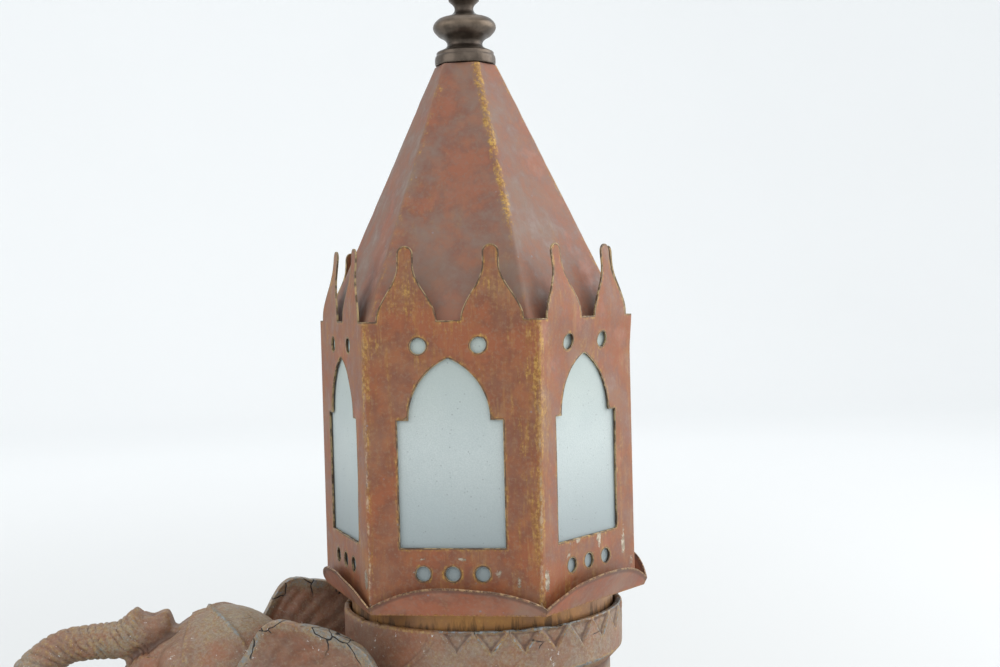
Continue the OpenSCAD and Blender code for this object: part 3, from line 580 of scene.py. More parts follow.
def finialBronze():
    made, n, shader = newMaterial("darkTurnedBronze")
    fine = n.grain(0.0012, 3, 0.6)
    turning = n.grain(0.0012, 3, 0.6, stretch=(0.02, 0.02, 1.0))
    patchy = n.grain(0.005, 4, 0.6)
    colour = n.mix(n.ramp(patchy, 0.4, 0.65), tone(80, 71, 63), tone(102, 91, 81))
    colour = n.mix(n.times(n.ramp(n.mask("peak"), 0.25, 0.8), 0.5), colour, tone(136, 118, 96))
    colour = n.mix(n.times(n.ramp(n.mask("peak"), -0.1, -0.7), 0.6), colour, tone(40, 34, 30))
    n.feed(shader["Base Color"], colour)
    shader["Metallic"].default_value = 0.85
    n.feed(shader["Roughness"], n.ramp(n.plus(patchy, n.times(fine, 0.5)), 0.5, 1.0, (0.28, 0.46)))
    n.feed(shader["Normal"], n.bump(n.plus(turning, n.times(fine, 0.5)), 0.00005, 0.4))
    return made


def feltCloth():
    made, n, shader = newMaterial("greenFelt")
    fibre = n.grain(0.0006, 6, 0.8, warp=2.0)
    n.feed(shader["Base Color"], n.mix(n.ramp(fibre, 0.3, 0.7), tone(24, 44, 34), tone(48, 74, 58)))
    shader["Roughness"].default_value = 0.95
    shader["Sheen Weight"].default_value = 0.4
    n.feed(shader["Normal"], n.bump(fibre, 0.0003, 0.7))
    return made


def plainSolid(name, colour, rough, fleck=(0, 0, 0)):
    made, n, shader = newMaterial(name)
    fine = n.grain(0.0012, 4, 0.6)
    n.feed(shader["Base Color"], n.mix(n.ramp(fine, 0.35, 0.7), tone(*colour), tone(*fleck)))
    n.feed(shader["Roughness"], n.ramp(fine, 0.3, 0.7, (rough, min(1, rough + 0.15))))
    n.feed(shader["Normal"], n.bump(fine, 0.0001, 0.4))
    return made


def bulbGlass():
    made, n, shader = newMaterial("clearBulb")
    fine = n.grain(0.01, 3)
    n.feed(shader["Base Color"], n.mix(n.ramp(fine, 0.3, 0.7), tone(236, 240, 240), tone(246, 248, 248)))
    shader["Transmission Weight"].default_value = 0.9
    shader["IOR"].default_value = 1.45
    n.feed(shader["Roughness"], n.ramp(fine, 0.3, 0.7, (0.05, 0.12)))
    return made


print("materials are mixed")


leastRing = 0.002    # mm, so that no ring closes to nothing


def turnedShape(name, profile, around=96, closeBottom=False, closeTop=False):
    # a ring pulled up through a profile of (radius, height) in mm, as on a lathe
    letGo()
    r, z = profile[0]
    bpy.ops.mesh.primitive_circle_add(vertices=around, radius=r * mm, location=(0, 0, z * mm),
                                      fill_type="NGON" if closeBottom else "NOTHING")
    ob = bpy.context.object
    ob.name = name
    bakePlace(ob)
    bpy.ops.object.mode_set(mode="EDIT")
    bpy.ops.mesh.select_mode(type="EDGE")
    bpy.ops.mesh.select_all(action="SELECT")
    for (r0, z0), (r1, z1) in zip(profile, profile[1:]):
        bpy.ops.mesh.extrude_edges_move(TRANSFORM_OT_translate={"value": (0, 0, (z1 - z0) * mm)})
        k = max(r1, leastRing) / max(r0, leastRing)
        bpy.ops.transform.resize(value=(k, k, 1), center_override=(0, 0, z1 * mm))
    if closeTop:
        bpy.ops.mesh.edge_face_add()
    bpy.ops.mesh.select_all(action="SELECT")
    bpy.ops.mesh.remove_doubles(threshold=1e-7)
    bpy.ops.mesh.normals_make_consistent(inside=False)
    shut()
    return ob


def cutAcross(ob, places, axis):
    # bisect lines at the given places (m) along an axis
    pick(ob)
    bpy.ops.object.mode_set(mode="EDIT")
    for at in places:
        bpy.ops.mesh.select_all(action="SELECT")
        co, no = [0, 0, 0], [0, 0, 0]
        co[axis], no[axis] = at, 1
        bpy.ops.mesh.bisect(plane_co=co, plane_no=no)
    shut()


def copied(ob, name):
    twin = ob.copy()
    twin.data = ob.data.copy()
    twin.name = name
    bpy.context.collection.objects.link(twin)
    return twin


def spotMask(u, z, spots, own):
    # soft oval patches: (u, z, half width, half height, strength)
    total = np.zeros(len(u))
    for cu, cz, ru, rz, power in spots:
        total = np.maximum(total, power * np.exp(-((u - cu) / ru) ** 2 - ((z - cz) / rz) ** 2))
    return np.clip(total * (0.75 + 0.5 * own), 0, 1)


# lantern walls, in mm: one folded sheet with windows, vents and a merlon crown
walls = {"side": 54.0, "foot": -2.5, "up": 87.6, "sheet": 0.6, "bend": 1.6, "merlon": 23.5,
         "merlonWide": 18.9, "merlonAt": 13.15, "tip": 2.5, "sill": 16.6, "winHalf": 16.66,
         "shoulder": 56.5, "archHalf": 13.0, "arch": 75.9, "ventR": 2.5, "lowVentR": 2.35, "ventAt": 9.44,
         "dent": 0.3}
wallApo = walls["side"] / 2 / math.tan(sixth / 2)


def merlonLine(c):
    m, w, t = walls["merlon"], walls["merlonWide"], walls["tip"]

    def half(h):
        return t + (w / 2 - t) * (1 + math.cos(math.pi * h / (m - 6))) / 2
    steps = [(m - 6) * i / 22 for i in range(23)]
    left = [(c - half(h), walls["up"] + h) for h in steps]
    cap = [(c - t * math.cos(math.pi * i / 14), walls["up"] + m - t + t * math.sin(math.pi * i / 14))
           for i in range(15)]
    return left + cap + [(2 * c - x, y) for x, y in reversed(left)]


def faceLines():
    w = walls["side"] / 2
    crown = [(-w, walls["foot"]), (w, walls["foot"]), (w, walls["up"])]
    crown += [(-x, y) for x, y in merlonLine(-walls["merlonAt"])]
    crown += [(-x, y) for x, y in merlonLine(walls["merlonAt"])]
    crown += [(-w, walls["up"])]
    rise = walls["arch"] - walls["shoulder"]
    c = (rise ** 2 - walls["archHalf"] ** 2) / (2 * walls["archHalf"])
    r = walls["archHalf"] + c
    end = math.asin(rise / r)
    side = [(r * math.cos(end * i / 16) - c, walls["shoulder"] + r * math.sin(end * i / 16))
            for i in range(17)]
    window = [(-walls["winHalf"], walls["sill"]), (walls["winHalf"], walls["sill"]),
              (walls["winHalf"], walls["shoulder"])]
    window += side + [(-x, y) for x, y in reversed(side[:-1])] + [(-walls["winHalf"], walls["shoulder"])]
    holes = [(x, walls["up"] - 7.8, walls["ventR"]) for x in (-walls["ventAt"], walls["ventAt"])]
    holes += [(x, 8.5, walls["lowVentR"]) for x in (-walls["ventAt"], 0, walls["ventAt"])]
    rings = [[(x + r * math.cos(math.tau * i / 28), y + r * math.sin(math.tau * i / 28)) for i in range(28)]
             for x, y, r in holes]
    return [crown, window] + rings


def edgeDistance(points, lines):
    best = np.full(len(points), 1e9)
    for n, line in enumerate(lines):
        a = np.array(line, float)
        pairs = list(zip(a, np.roll(a, -1, axis=0)))
        if n == 0:
            pairs = pairs[2:-1]    # the foot and the two folds aren't edges
        for p, q in pairs:
            d = q - p
            if d @ d < 1e-12:
                continue
            t = np.clip(((points - p) @ d) / (d @ d), 0, 1)
            best = np.minimum(best, np.hypot(*(points - p - t[:, None] * d).T))
    return best


def flatSheet(name, lines, insets):
    # a filled flat curve, turned to a mesh, with narrow bands run round every edge
    letGo()
    curve = bpy.data.curves.new(name, "CURVE")
    curve.dimensions, curve.fill_mode = "2D", "BOTH"
    for line in lines:
        spline = curve.splines.new("POLY")
        spline.points.add(len(line) - 1)
        for point, (x, y) in zip(spline.points, line):
            point.co = (x * mm, y * mm, 0, 1)
        spline.use_cyclic_u = True
    ob = added(name, curve)
    pick(ob)
    bpy.ops.object.convert(target="MESH")
    ob = bpy.context.object
    weld(ob, 1e-6)
    openAll(ob)
    if sum(f.normal.z for f in ob.data.polygons) < 0:
        bpy.ops.mesh.flip_normals()
    for width in insets:
        bpy.ops.mesh.inset(thickness=width * mm, use_boundary=True, use_even_offset=True)
    shut()
    return ob


def foldedPlace(u, z, out, i):
    # a point of the flat sheet on face i of the bent one
    r = walls["bend"]
    t = r * math.tan(sixth / 2)
    flat = walls["side"] / 2 - t
    over = np.clip((np.abs(u) - flat) / t, 0, 1) * sixth / 2
    x = np.where(np.abs(u) > flat, flat + (r + out) * np.sin(over), np.abs(u)) * np.sign(u)
    y = -(wallApo - r + (r + out) * np.cos(over))
    return turned(np.column_stack([x, y, z]), lanternTurn + sixth * i)


sideways = np.array([0.9966, -0.0819])
# the maker's folds aren't quite regular: how far the crown is pushed along, and how the merlon tips lean
crownPush = {0: ([-27, -13, 13, 27], [0, 0.3, 0.95, 2.0]), 1: ([-27, -13, 13, 27], [2.0, 1.9, 1.6, 0.9]),
             2: ([-27, 27], [0.9, 0])}
tipLean = {0: (-0.4, -0.6), 1: (-3.1, -1.9), 2: (-1.4, 0.8), 3: (0.6, -1.2), 4: (-0.8, -2.0),
           5: (-2.7, -1.9)}


def handBent(i, u, z):
    top = np.interp(u, *crownPush[i]) if i in crownPush else np.zeros(len(u))
    near = ramp(u if i == 0 else -u, 13, 27) if i < 2 else 0
    low = near * (0.9 + 1.1 * np.clip(z / 87, 0, 1))
    return low + (top - low) * ramp(z, 74, 90)


def makeWalls():
    lines = faceLines()
    one = flatSheet("wallFace", lines, ())
    t = walls["bend"] * math.tan(sixth / 2)
    flat = walls["side"] / 2 - t
    columns = list(np.arange(-24.5, 24.6, 1.4))
    columns += [s * (flat + t * k / 4) for s in (-1, 1) for k in range(4)]
    cutAcross(one, [x * mm for x in columns], 0)
    cutAcross(one, [y * mm for y in np.arange(0.5, walls["up"] + 22, 1.4)], 1)
    flatXyz = coords(one) / mm
    u, z = flatXyz[:, 0], flatXyz[:, 1]
    edge = edgeDistance(flatXyz[:, :2], lines)
    joint = np.abs(np.abs(u) - walls["side"] / 2)
    faces = []
    for i in range(6):
        ob = copied(one, f"wallFace{i}")
        flatAround = np.column_stack([u + i * 54, z, np.zeros(len(u))])
        wave = roughField(np.column_stack([u + i * 54 + 27, z, u * 0]), 30, 2.0, 2)
        wave = wave * ramp(walls["side"] / 2 - np.abs(u), 0, 6)
        small = roughField(flatAround, 9, 5.0, 2) * ramp(walls["side"] / 2 - np.abs(u), 0, 4)
        tips = np.where(u < 0, tipLean[i][0], tipLean[i][1]) * ramp(z, walls["up"], walls["up"] + 23) ** 1.3
        out = walls["dent"] * wave + 0.1 * small + tips
        own = roughField(flatAround, 7, 9.0, 3)
        xyz = foldedPlace(u, z, out, i)
        xyz[:, :2] = (xyz[:, :2] + handBent(i, u, z)[:, None] * sideways) * mm
        xyz[:, 2] = cageFoot + z * mm
        setCoords(ob, xyz)
        for key, values in wallMasks(i, u, z, own).items():
            setMask(ob, key, values)
        setMask(ob, "edge", np.minimum(edge, 9))
        setMask(ob, "fold", joint)
        faces.append(ob)
    bpy.data.objects.remove(one)
    ob = joined(faces, "lanternWalls")
    weld(ob, 2e-5)
    modify(ob, "SOLIDIFY", thickness=walls["sheet"] * mm, offset=-1)
    smoothed(ob, 32)
    finish(ob, "lantern", "sheet_paint", sheetPaint(), "lantern_cage")
    print("lantern walls bent,", len(ob.data.polygons), "faces")


# where the gold and the bare metal show: face: (u, z, half width, half height, strength)
wallGild = {0: [(23.5, 50, 4, 36, 0.75), (25.5, 16, 3, 20, 0.85), (20, 6, 3, 12, 0.5),
                (-24.5, 78, 4, 9, 0.8), (24.5, 82, 4, 8, 0.9), (-13, 96, 8, 12, 0.85), (0, 85, 5, 3, 0.5),
                (-19, 30, 3, 14, 0.25), (13, 98, 8, 11, 0.75), (-24.5, 2, 4, 3, 0.5)],
            1: [(-25, 60, 2.4, 30, 0.7), (-24, 12, 2.6, 16, 0.4), (-13, 95, 6, 9, 0.35),
                (13, 93, 6, 9, 0.3)],
            5: [(25, 75, 3, 12, 0.7), (13, 96, 7, 12, 0.7), (22, 30, 3, 20, 0.2)],
            2: [(-20, 30, 6, 25, 0.4), (13, 96, 6, 9, 0.4)],
            3: [(22, 60, 5, 20, 0.5), (-13, 96, 6, 9, 0.4)],
            4: [(-22, 30, 5, 22, 0.5), (13, 96, 6, 9, 0.4)]}
wallBare = {0: [(-9.5, 13.3, 3, 1.5, 0.32), (-12.5, 9, 2, 2, 0.25), (3, 13, 3, 1.6, 0.3),
                (11, 13.5, 2, 1.5, 0.32), (14, 9, 1.6, 3, 0.3), (26, 6, 2.2, 8, 0.36),
                (20.5, 5.5, 1.8, 4, 0.34), (-26, 5, 2, 7, 0.3), (21, 23, 2.5, 3, 0.25),
                (5, 4, 2, 1.2, 0.2)],
            1: [(-24, 5, 3, 7, 0.4), (-6, 17, 2, 4, 0.36), (-11, 12, 3, 3, 0.34), (6, 15, 1.8, 5, 0.38),
                (20, 12, 1.8, 8, 0.36), (24.5, 4, 3, 4, 0.4), (15, 40, 1.5, 8, 0.2)],
            5: [(24, 6, 3, 9, 0.3), (4, 14, 3, 2, 0.25)],
            2: [(10, 8, 6, 4, 0.3)], 3: [(-18, 12, 4, 8, 0.3)], 4: [(10, 50, 10, 3, 0.2)]}
foldGild = {0: (0.55, 1.0), 1: (1.0, 1.0), 2: (0.4, 0.5), 3: (0.4, 0.6), 4: (0.4, 0.5), 5: (0.3, 0.5)}
foldBare = {0: (0.75, 0.25), 1: (0.65, 0.15), 2: (0.6, 0.4), 3: (0.5, 0.4), 4: (0.5, 0.4), 5: (0.5, 0.4)}


def wallMasks(i, u, z, own):
    # masks for face i; corner i is at its left edge, corner i + 1 at its right
    corner = np.where(u < 0, i, (i + 1) % 6)
    high = ramp(z, 35, 75)
    gild, bare = ((1 - high) * [table[c][0] for c in corner] + high * [table[c][1] for c in corner]
                  for table in (foldGild, foldBare))
    return {"gild": spotMask(u, z, wallGild[i], own), "bare": spotMask(u, z, wallBare[i], own),
            "foldGild": gild * (0.8 + 0.4 * own), "foldBare": bare * (0.8 + 0.4 * own)}


makeWalls()


# roof: six folded sides, in mm
roofDims = {"across": 45.315, "topR": 10.9, "ridge": 0.9, "dent": 0.35, "sheet": 0.9, "rings": 46,
            "cuts": 24, "gold": (0.55, 0.6, 0.5, 0.4, 0.35, 0.95),
            # patches: (across, height, half width, half height, strength), across from -1 to 1
            "gild": [(0.1, 33, 0.03, 5, 0.8), (-0.8, 12, 0.2, 8, 0.3)],
            "bare": [(0.55, 47, 0.12, 3, 0.42), (-0.85, 66, 0.2, 8, 0.3), (-0.5, 20, 0.1, 1.5, 0.3),
                     (0.3, 70, 0.1, 2, 0.25)]}


def makeRoof():
    low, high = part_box("roof")
    foot, top = low[2], high[2]
    footR, topR = roofDims["across"] / math.cos(sixth / 2), roofDims["topR"]
    letGo()
    bpy.ops.mesh.primitive_cone_add(vertices=6, radius1=footR * mm, radius2=topR * mm, depth=top - foot,
                                    end_fill_type="NOTHING", location=(0, 0, (foot + top) / 2),
                                    rotation=(0, 0, lanternTurn + sixth / 2))
    ob = bpy.context.object
    ob.name = "lanternRoof"
    bakePlace(ob)
    openSome(ob, "EDGE", lambda edge: abs(edge.verts[0].co.z - edge.verts[1].co.z) > 20 * mm)
    bpy.ops.mesh.bevel(offset=roofDims["ridge"] * mm, segments=4, affect="EDGES")
    for k in range(1, roofDims["rings"]):
        bpy.ops.mesh.select_all(action="SELECT")
        bpy.ops.mesh.bisect(plane_co=(0, 0, foot + (top - foot) * k / roofDims["rings"]),
                            plane_no=(0, 0, 1))
    for k in range(roofDims["cuts"]):
        bpy.ops.mesh.select_all(action="SELECT")
        a = lanternTurn + math.pi * (k + 0.5) / roofDims["cuts"]
        bpy.ops.mesh.bisect(plane_co=(0, 0, 0), plane_no=(math.cos(a), math.sin(a), 0))
    shut()
    xyz = coords(ob)
    angle = np.degrees(np.arctan2(xyz[:, 1], xyz[:, 0])) - math.degrees(lanternTurn)
    spread = (angle + 30) % 60 - 30     # from the nearest ridge, in degrees
    radius = np.hypot(xyz[:, 0], xyz[:, 1]) / mm
    fold = np.abs(np.sin(np.radians(spread))) * radius
    ridge = np.round((angle - spread) / 60).astype(int) % 6    # 0 right, 5 front right, 4 front left
    h = (xyz[:, 2] - foot) / mm
    wave = roughField(xyz / mm, 26, 3.0, 2)
    small = roughField(xyz / mm, 7, 4.0, 2)
    out = (roofDims["dent"] * wave + 0.08 * small) * ramp(fold, 0, 6)
    out += 0.12 * roughField(xyz / mm, 5, 6.0, 2)
    xyz[:, :2] *= 1 + (out / np.maximum(radius, 1))[:, None]
    setCoords(ob, xyz)
    own = roughField(xyz / mm, 6, 8.0, 3)
    gild = np.array(roofDims["gold"])[ridge]
    gild = np.where(ridge == 5, gild * (0.25 + 0.75 * ramp(h, 22, 40)), gild)
    side = np.floor(((angle + 120) % 360) / 60).astype(int)    # 0 the front face, 1 the right one
    across = np.where(spread > 0, spread - 30, spread + 30) / 30
    setMask(ob, "foldGild", np.clip(gild * (0.9 + 0.5 * own), 0, 1))
    setMask(ob, "fold", fold)
    setMask(ob, "gild", spotMask(across, h, roofDims["gild"], own) * (side == 0))
    setMask(ob, "bare", spotMask(across, h, roofDims["bare"], own) * (side < 2))
    haze = 0.45 + 0.5 * wave + 0.35 * own - 0.5 * ramp(-across, 0.2, 0.9) * (side == 0)
    setMask(ob, "haze", np.clip(haze, 0, 1))
    modify(ob, "SOLIDIFY", thickness=roofDims["sheet"] * mm, offset=-1)
    smoothed(ob, 30)
    finish(ob, "roof_top", "roof_paint", roofPaint(), "roof")
    print("roof folded,", len(ob.data.polygons), "faces")


makeRoof()


def pushOver(ob, along, up):
    # a small shift, in mm, as the parts sit a little off each other's centre
    xyz = coords(ob)
    xyz[:, :2] += sideways * along * mm
    xyz[:, 2] += up * mm
    setCoords(ob, xyz)


# tray with six flared lips, in mm and degrees
trayDims = {"r": 55.5, "lipMid": 10.2, "lipCorner": 2.4, "lean": 24, "sheet": 0.5, "push": (1.3, -0.9),
            "roll": 0.45, "under": 3.5, "hole": 42.0}


def makeTray():
    floorZ = cageFoot - trayDims["under"] * mm
    apo = trayDims["r"] * math.cos(sixth / 2)
    letGo()
    bpy.ops.mesh.primitive_grid_add(x_subdivisions=44, y_subdivisions=10, size=2)
    lip = bpy.context.object
    flat = coords(lip)
    u, v = flat[:, 0], (flat[:, 1] + 1) / 2
    height = trayDims["lipCorner"] + (trayDims["lipMid"] - trayDims["lipCorner"]) * (1 - np.abs(u) ** 2.3)
    up = v * height
    lean = math.radians(trayDims["lean"])
    out = up * math.sin(lean) + trayDims["roll"] * v ** 3 * (1 - u ** 2)
    half = (apo + out) * math.tan(sixth / 2)
    xyz = np.column_stack([u * half, -(apo + out), up * math.cos(lean)])
    xyz[:, :2] *= mm
    xyz[:, 2] = floorZ + xyz[:, 2] * mm
    setCoords(lip, xyz)
    setMask(lip, "edge", (1 - v) * height)
    setMask(lip, "foot", up)
    setMask(lip, "pinch", (1 - np.abs(u)) * 27)
    lips = []
    for i in range(6):
        twin = copied(lip, f"lip{i}")
        base = coords(twin)
        wave = roughField(base / mm + i * 40, 16, 1.0 + i, 2)
        base[:, 2] += wave * 0.35 * mm * v
        base[:, 1] += wave * 0.4 * mm * v * (1 - np.abs(u) ** 4)
        setCoords(twin, turned(base, lanternTurn + sixth * i))
        lips.append(twin)
    bpy.data.objects.remove(lip)
    letGo()
    bpy.ops.mesh.primitive_circle_add(vertices=6, radius=trayDims["r"] * mm, fill_type="NGON",
                                      location=(0, 0, floorZ),
                                      rotation=(0, 0, lanternTurn + sixth / 2))
    plate = bakePlace(bpy.context.object)
    openAll(plate)
    bpy.ops.mesh.inset(thickness=(apo - trayDims["hole"]) * mm)
    bpy.ops.mesh.delete(type="FACE")
    bpy.ops.mesh.select_all(action="SELECT")
    bpy.ops.mesh.flip_normals()
    bpy.ops.mesh.subdivide(number_cuts=6)
    shut()
    setMask(plate, "edge", np.full(len(plate.data.vertices), 9.0))
    setMask(plate, "foot", np.zeros(len(plate.data.vertices)))
    setMask(plate, "pinch", np.full(len(plate.data.vertices), 27.0))
    ob = joined(lips + [plate], "lanternTray")
    weld(ob, 2e-5)
    modify(ob, "SOLIDIFY", thickness=trayDims["sheet"] * mm, offset=-1)
    smoothed(ob, 40)
    pushOver(ob, *trayDims["push"])
    finish(ob, "lantern", "sheet_paint", trayPaint(), "lantern_tray")
    print("tray pressed,", len(ob.data.polygons), "faces")


def trayPaint():
    made, n, shader = newMaterial("wornTray")
    edge, foot, pinch = n.mask("edge"), n.mask("foot"), n.mask("pinch")
    wobble = n.grain(0.0025, 4, 0.65)
    lineGold = n.ramp(n.plus(foot, n.times(wobble, 1.6)), 2.1, 0.9)
    corner = n.ramp(n.plus(pinch, n.times(wobble, 3)), 4.6, 2.4)
    gild = n.most(n.times(lineGold, 0.8), n.times(corner, 0.5), True)
    paint = useGroup(n, oldPaint, **{"Paint": tone(146, 92, 68), "Bloom": tone(136, 110, 94),
                                     "Gold": tone(172, 132, 62), "Bloom Amount": 0.75, "Gold Amount": 0.22,
                                     "Gild": gild, "Speck": 0.5, "Streak": 0.4})
    bare = useGroup(n, bareMetal, **{"Under": paint["Color"], "Zinc": tone(130, 134, 136),
                                     "Amount": n.times(corner, 0.3)})
    below = n.times(n.ramp(edge, 1.9, 0.9), n.ramp(edge, 0.25, 0.5))
    colour = n.mix(n.times(below, 0.5), bare["Color"], tone(60, 46, 40))
    rim = n.times(n.ramp(n.plus(edge, n.times(wobble, 0.3)), 0.75, 0.4), n.ramp(wobble, 0.3, 0.45))
    rimTone = n.mix(n.ramp(n.grain(0.0014, 4, 0.75), 0.44, 0.6), tone(86, 70, 58), tone(168, 142, 104))
    colour = n.mix(n.times(rim, 0.75), colour, rimTone)
    n.feed(shader["Base Color"], colour)
    n.feed(shader["Metallic"], n.times(n.most(paint["Gold Mask"], rim), 0.45))
    n.feed(shader["Roughness"], paint["Rough"])
    n.feed(shader["Normal"], n.bump(paint["Height"], 0.0002, 0.5))
    return made


makeTray()


# collar under the tray, in mm
collarDims = {"thick": 1.2, "sheet": 0.5, "dent": 0.25, "rows": 20, "around": 180, "push": 1.0}


def makeCollar():
    low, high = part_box("lantern_collar")
    r, t, count = high[0] / mm, collarDims["thick"], collarDims["rows"]
    z0, z1 = low[2] / mm, high[2] / mm
    rows = [(r, z0 + (z1 - z0) * k / count) for k in range(count + 1)]
    rows[0] = (r - 0.15, z0)
    rows.insert(1, (r, z0 + 0.2))
    ob = turnedShape("brassCollar", [(r - t, z0)] + rows, collarDims["around"])
    xyz = coords(ob)
    radius = np.hypot(xyz[:, 0], xyz[:, 1])
    dent = collarDims["dent"] * roughField(xyz / mm, 14, 2.0, 2) * ramp(z1 - xyz[:, 2] / mm, 0, 4) * mm
    xyz[:, :2] *= (1 + np.where(radius > (r - 0.5) * mm, dent, 0) / radius)[:, None]
    setCoords(ob, xyz)
    modify(ob, "SOLIDIFY", thickness=collarDims["sheet"] * mm, offset=-1)
    pushOver(ob, collarDims["push"], 0)
    smoothed(ob)
    finish(ob, "lantern", "collar_brass", collarBrass(), "lantern_collar")
    print("collar rolled")


makeCollar()


# finial: its outline as (radius, height) in mm, and the hole in its foot
finialDims = {"profile": [(10.1, 0), (10.4, 0.4), (10.4, 2.6), (10.1, 3.1), (9.8, 3.4), (9.8, 4.3),
                          (9.3, 4.8), (7.4, 5.4), (6.2, 6.3), (5.9, 7.2), (6.2, 8.2), (7.3, 9.3), (9, 10),
                          (9.4, 10.6), (10.2, 11.3), (10.8, 12.4), (10.8, 13.5), (10.2, 14.6), (9.2, 15.5),
                          (8.6, 16), (5, 16.8), (3.6, 17.8), (3.06, 18.9), (3.3, 20.2), (4.3, 21.2),
                          (5.2, 21.9), (5.2, 22.6), (4.3, 23.2), (3.9, 23.8), (5, 25), (5.7, 26.6),
                          (5.8, 28.2), (5.2, 30), (3.9, 31.8), (2.2, 33.6), (1.3, 35.2), (0.8, 36.2),
                          (0.15, 36.5)], "around": 96, "bore": 3.08, "boreUp": 14.4}


def peaks(ob, rounds=6, gain=900.0):
    # how far each point stands out of its smoothed neighbourhood, about -1 to 1
    xyz = coords(ob)
    n = len(xyz)
    pairs = np.empty(len(ob.data.edges) * 2, int)
    ob.data.edges.foreach_get("vertices", pairs)
    a, b = pairs.reshape(-1, 2).T
    count = np.maximum(np.bincount(np.r_[a, b], minlength=n), 1)
    soft = xyz.copy()
    for _ in range(rounds):
        soft = np.stack([np.bincount(np.r_[a, b], np.r_[soft[b, k], soft[a, k]], n) / count
                         for k in range(3)], 1)
    return np.clip(np.einsum("ij,ij->i", xyz - soft, normals(ob)) * gain, -1, 1)


def makeFinial():
    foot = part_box("finial")[0][2] / mm
    outer = [(r, foot + h) for r, h in finialDims["profile"]]
    bore = finialDims["bore"]
    inner = [(0.1, foot + finialDims["boreUp"]), (bore, foot + finialDims["boreUp"]), (bore, foot + 0.2),
             (bore + 0.3, foot)]
    ob = turnedShape("darkFinial", inner + outer, finialDims["around"], closeTop=True)
    weld(ob, 3e-4 * 0.05, True)
    modify(ob, "BEVEL", width=0.12 * mm, segments=2, limit_method="ANGLE", angle_limit=math.radians(40))
    modify(ob, "SUBSURF", levels=1, render_levels=1)
    setMask(ob, "peak", peaks(ob, 8, 1600))
    smoothed(ob, 60)
    finish(ob, "finial_knob", "finial_bronze", finialBronze(), "finial")
    print("finial turned,", len(ob.data.polygons), "faces")


makeFinial()


# drum that the lantern stands in, in mm and degrees
drumDims = {"r": 47.5, "low": 43.4, "foot": 44.8, "band": 19.0, "carved": 18.0, "mouth": 1.9, "around": 720,
            "teeth": 12.86, "firstTooth": 12.0, "toothHalf": 4.9, "toothUp": 0.7, "toothLong": 6.4,
            "sunk": 0.75, "ridgeFrom": -23.6, "ridgeTo": -33.1, "curl": 0.55, "shift": (1.1, 0.5)}


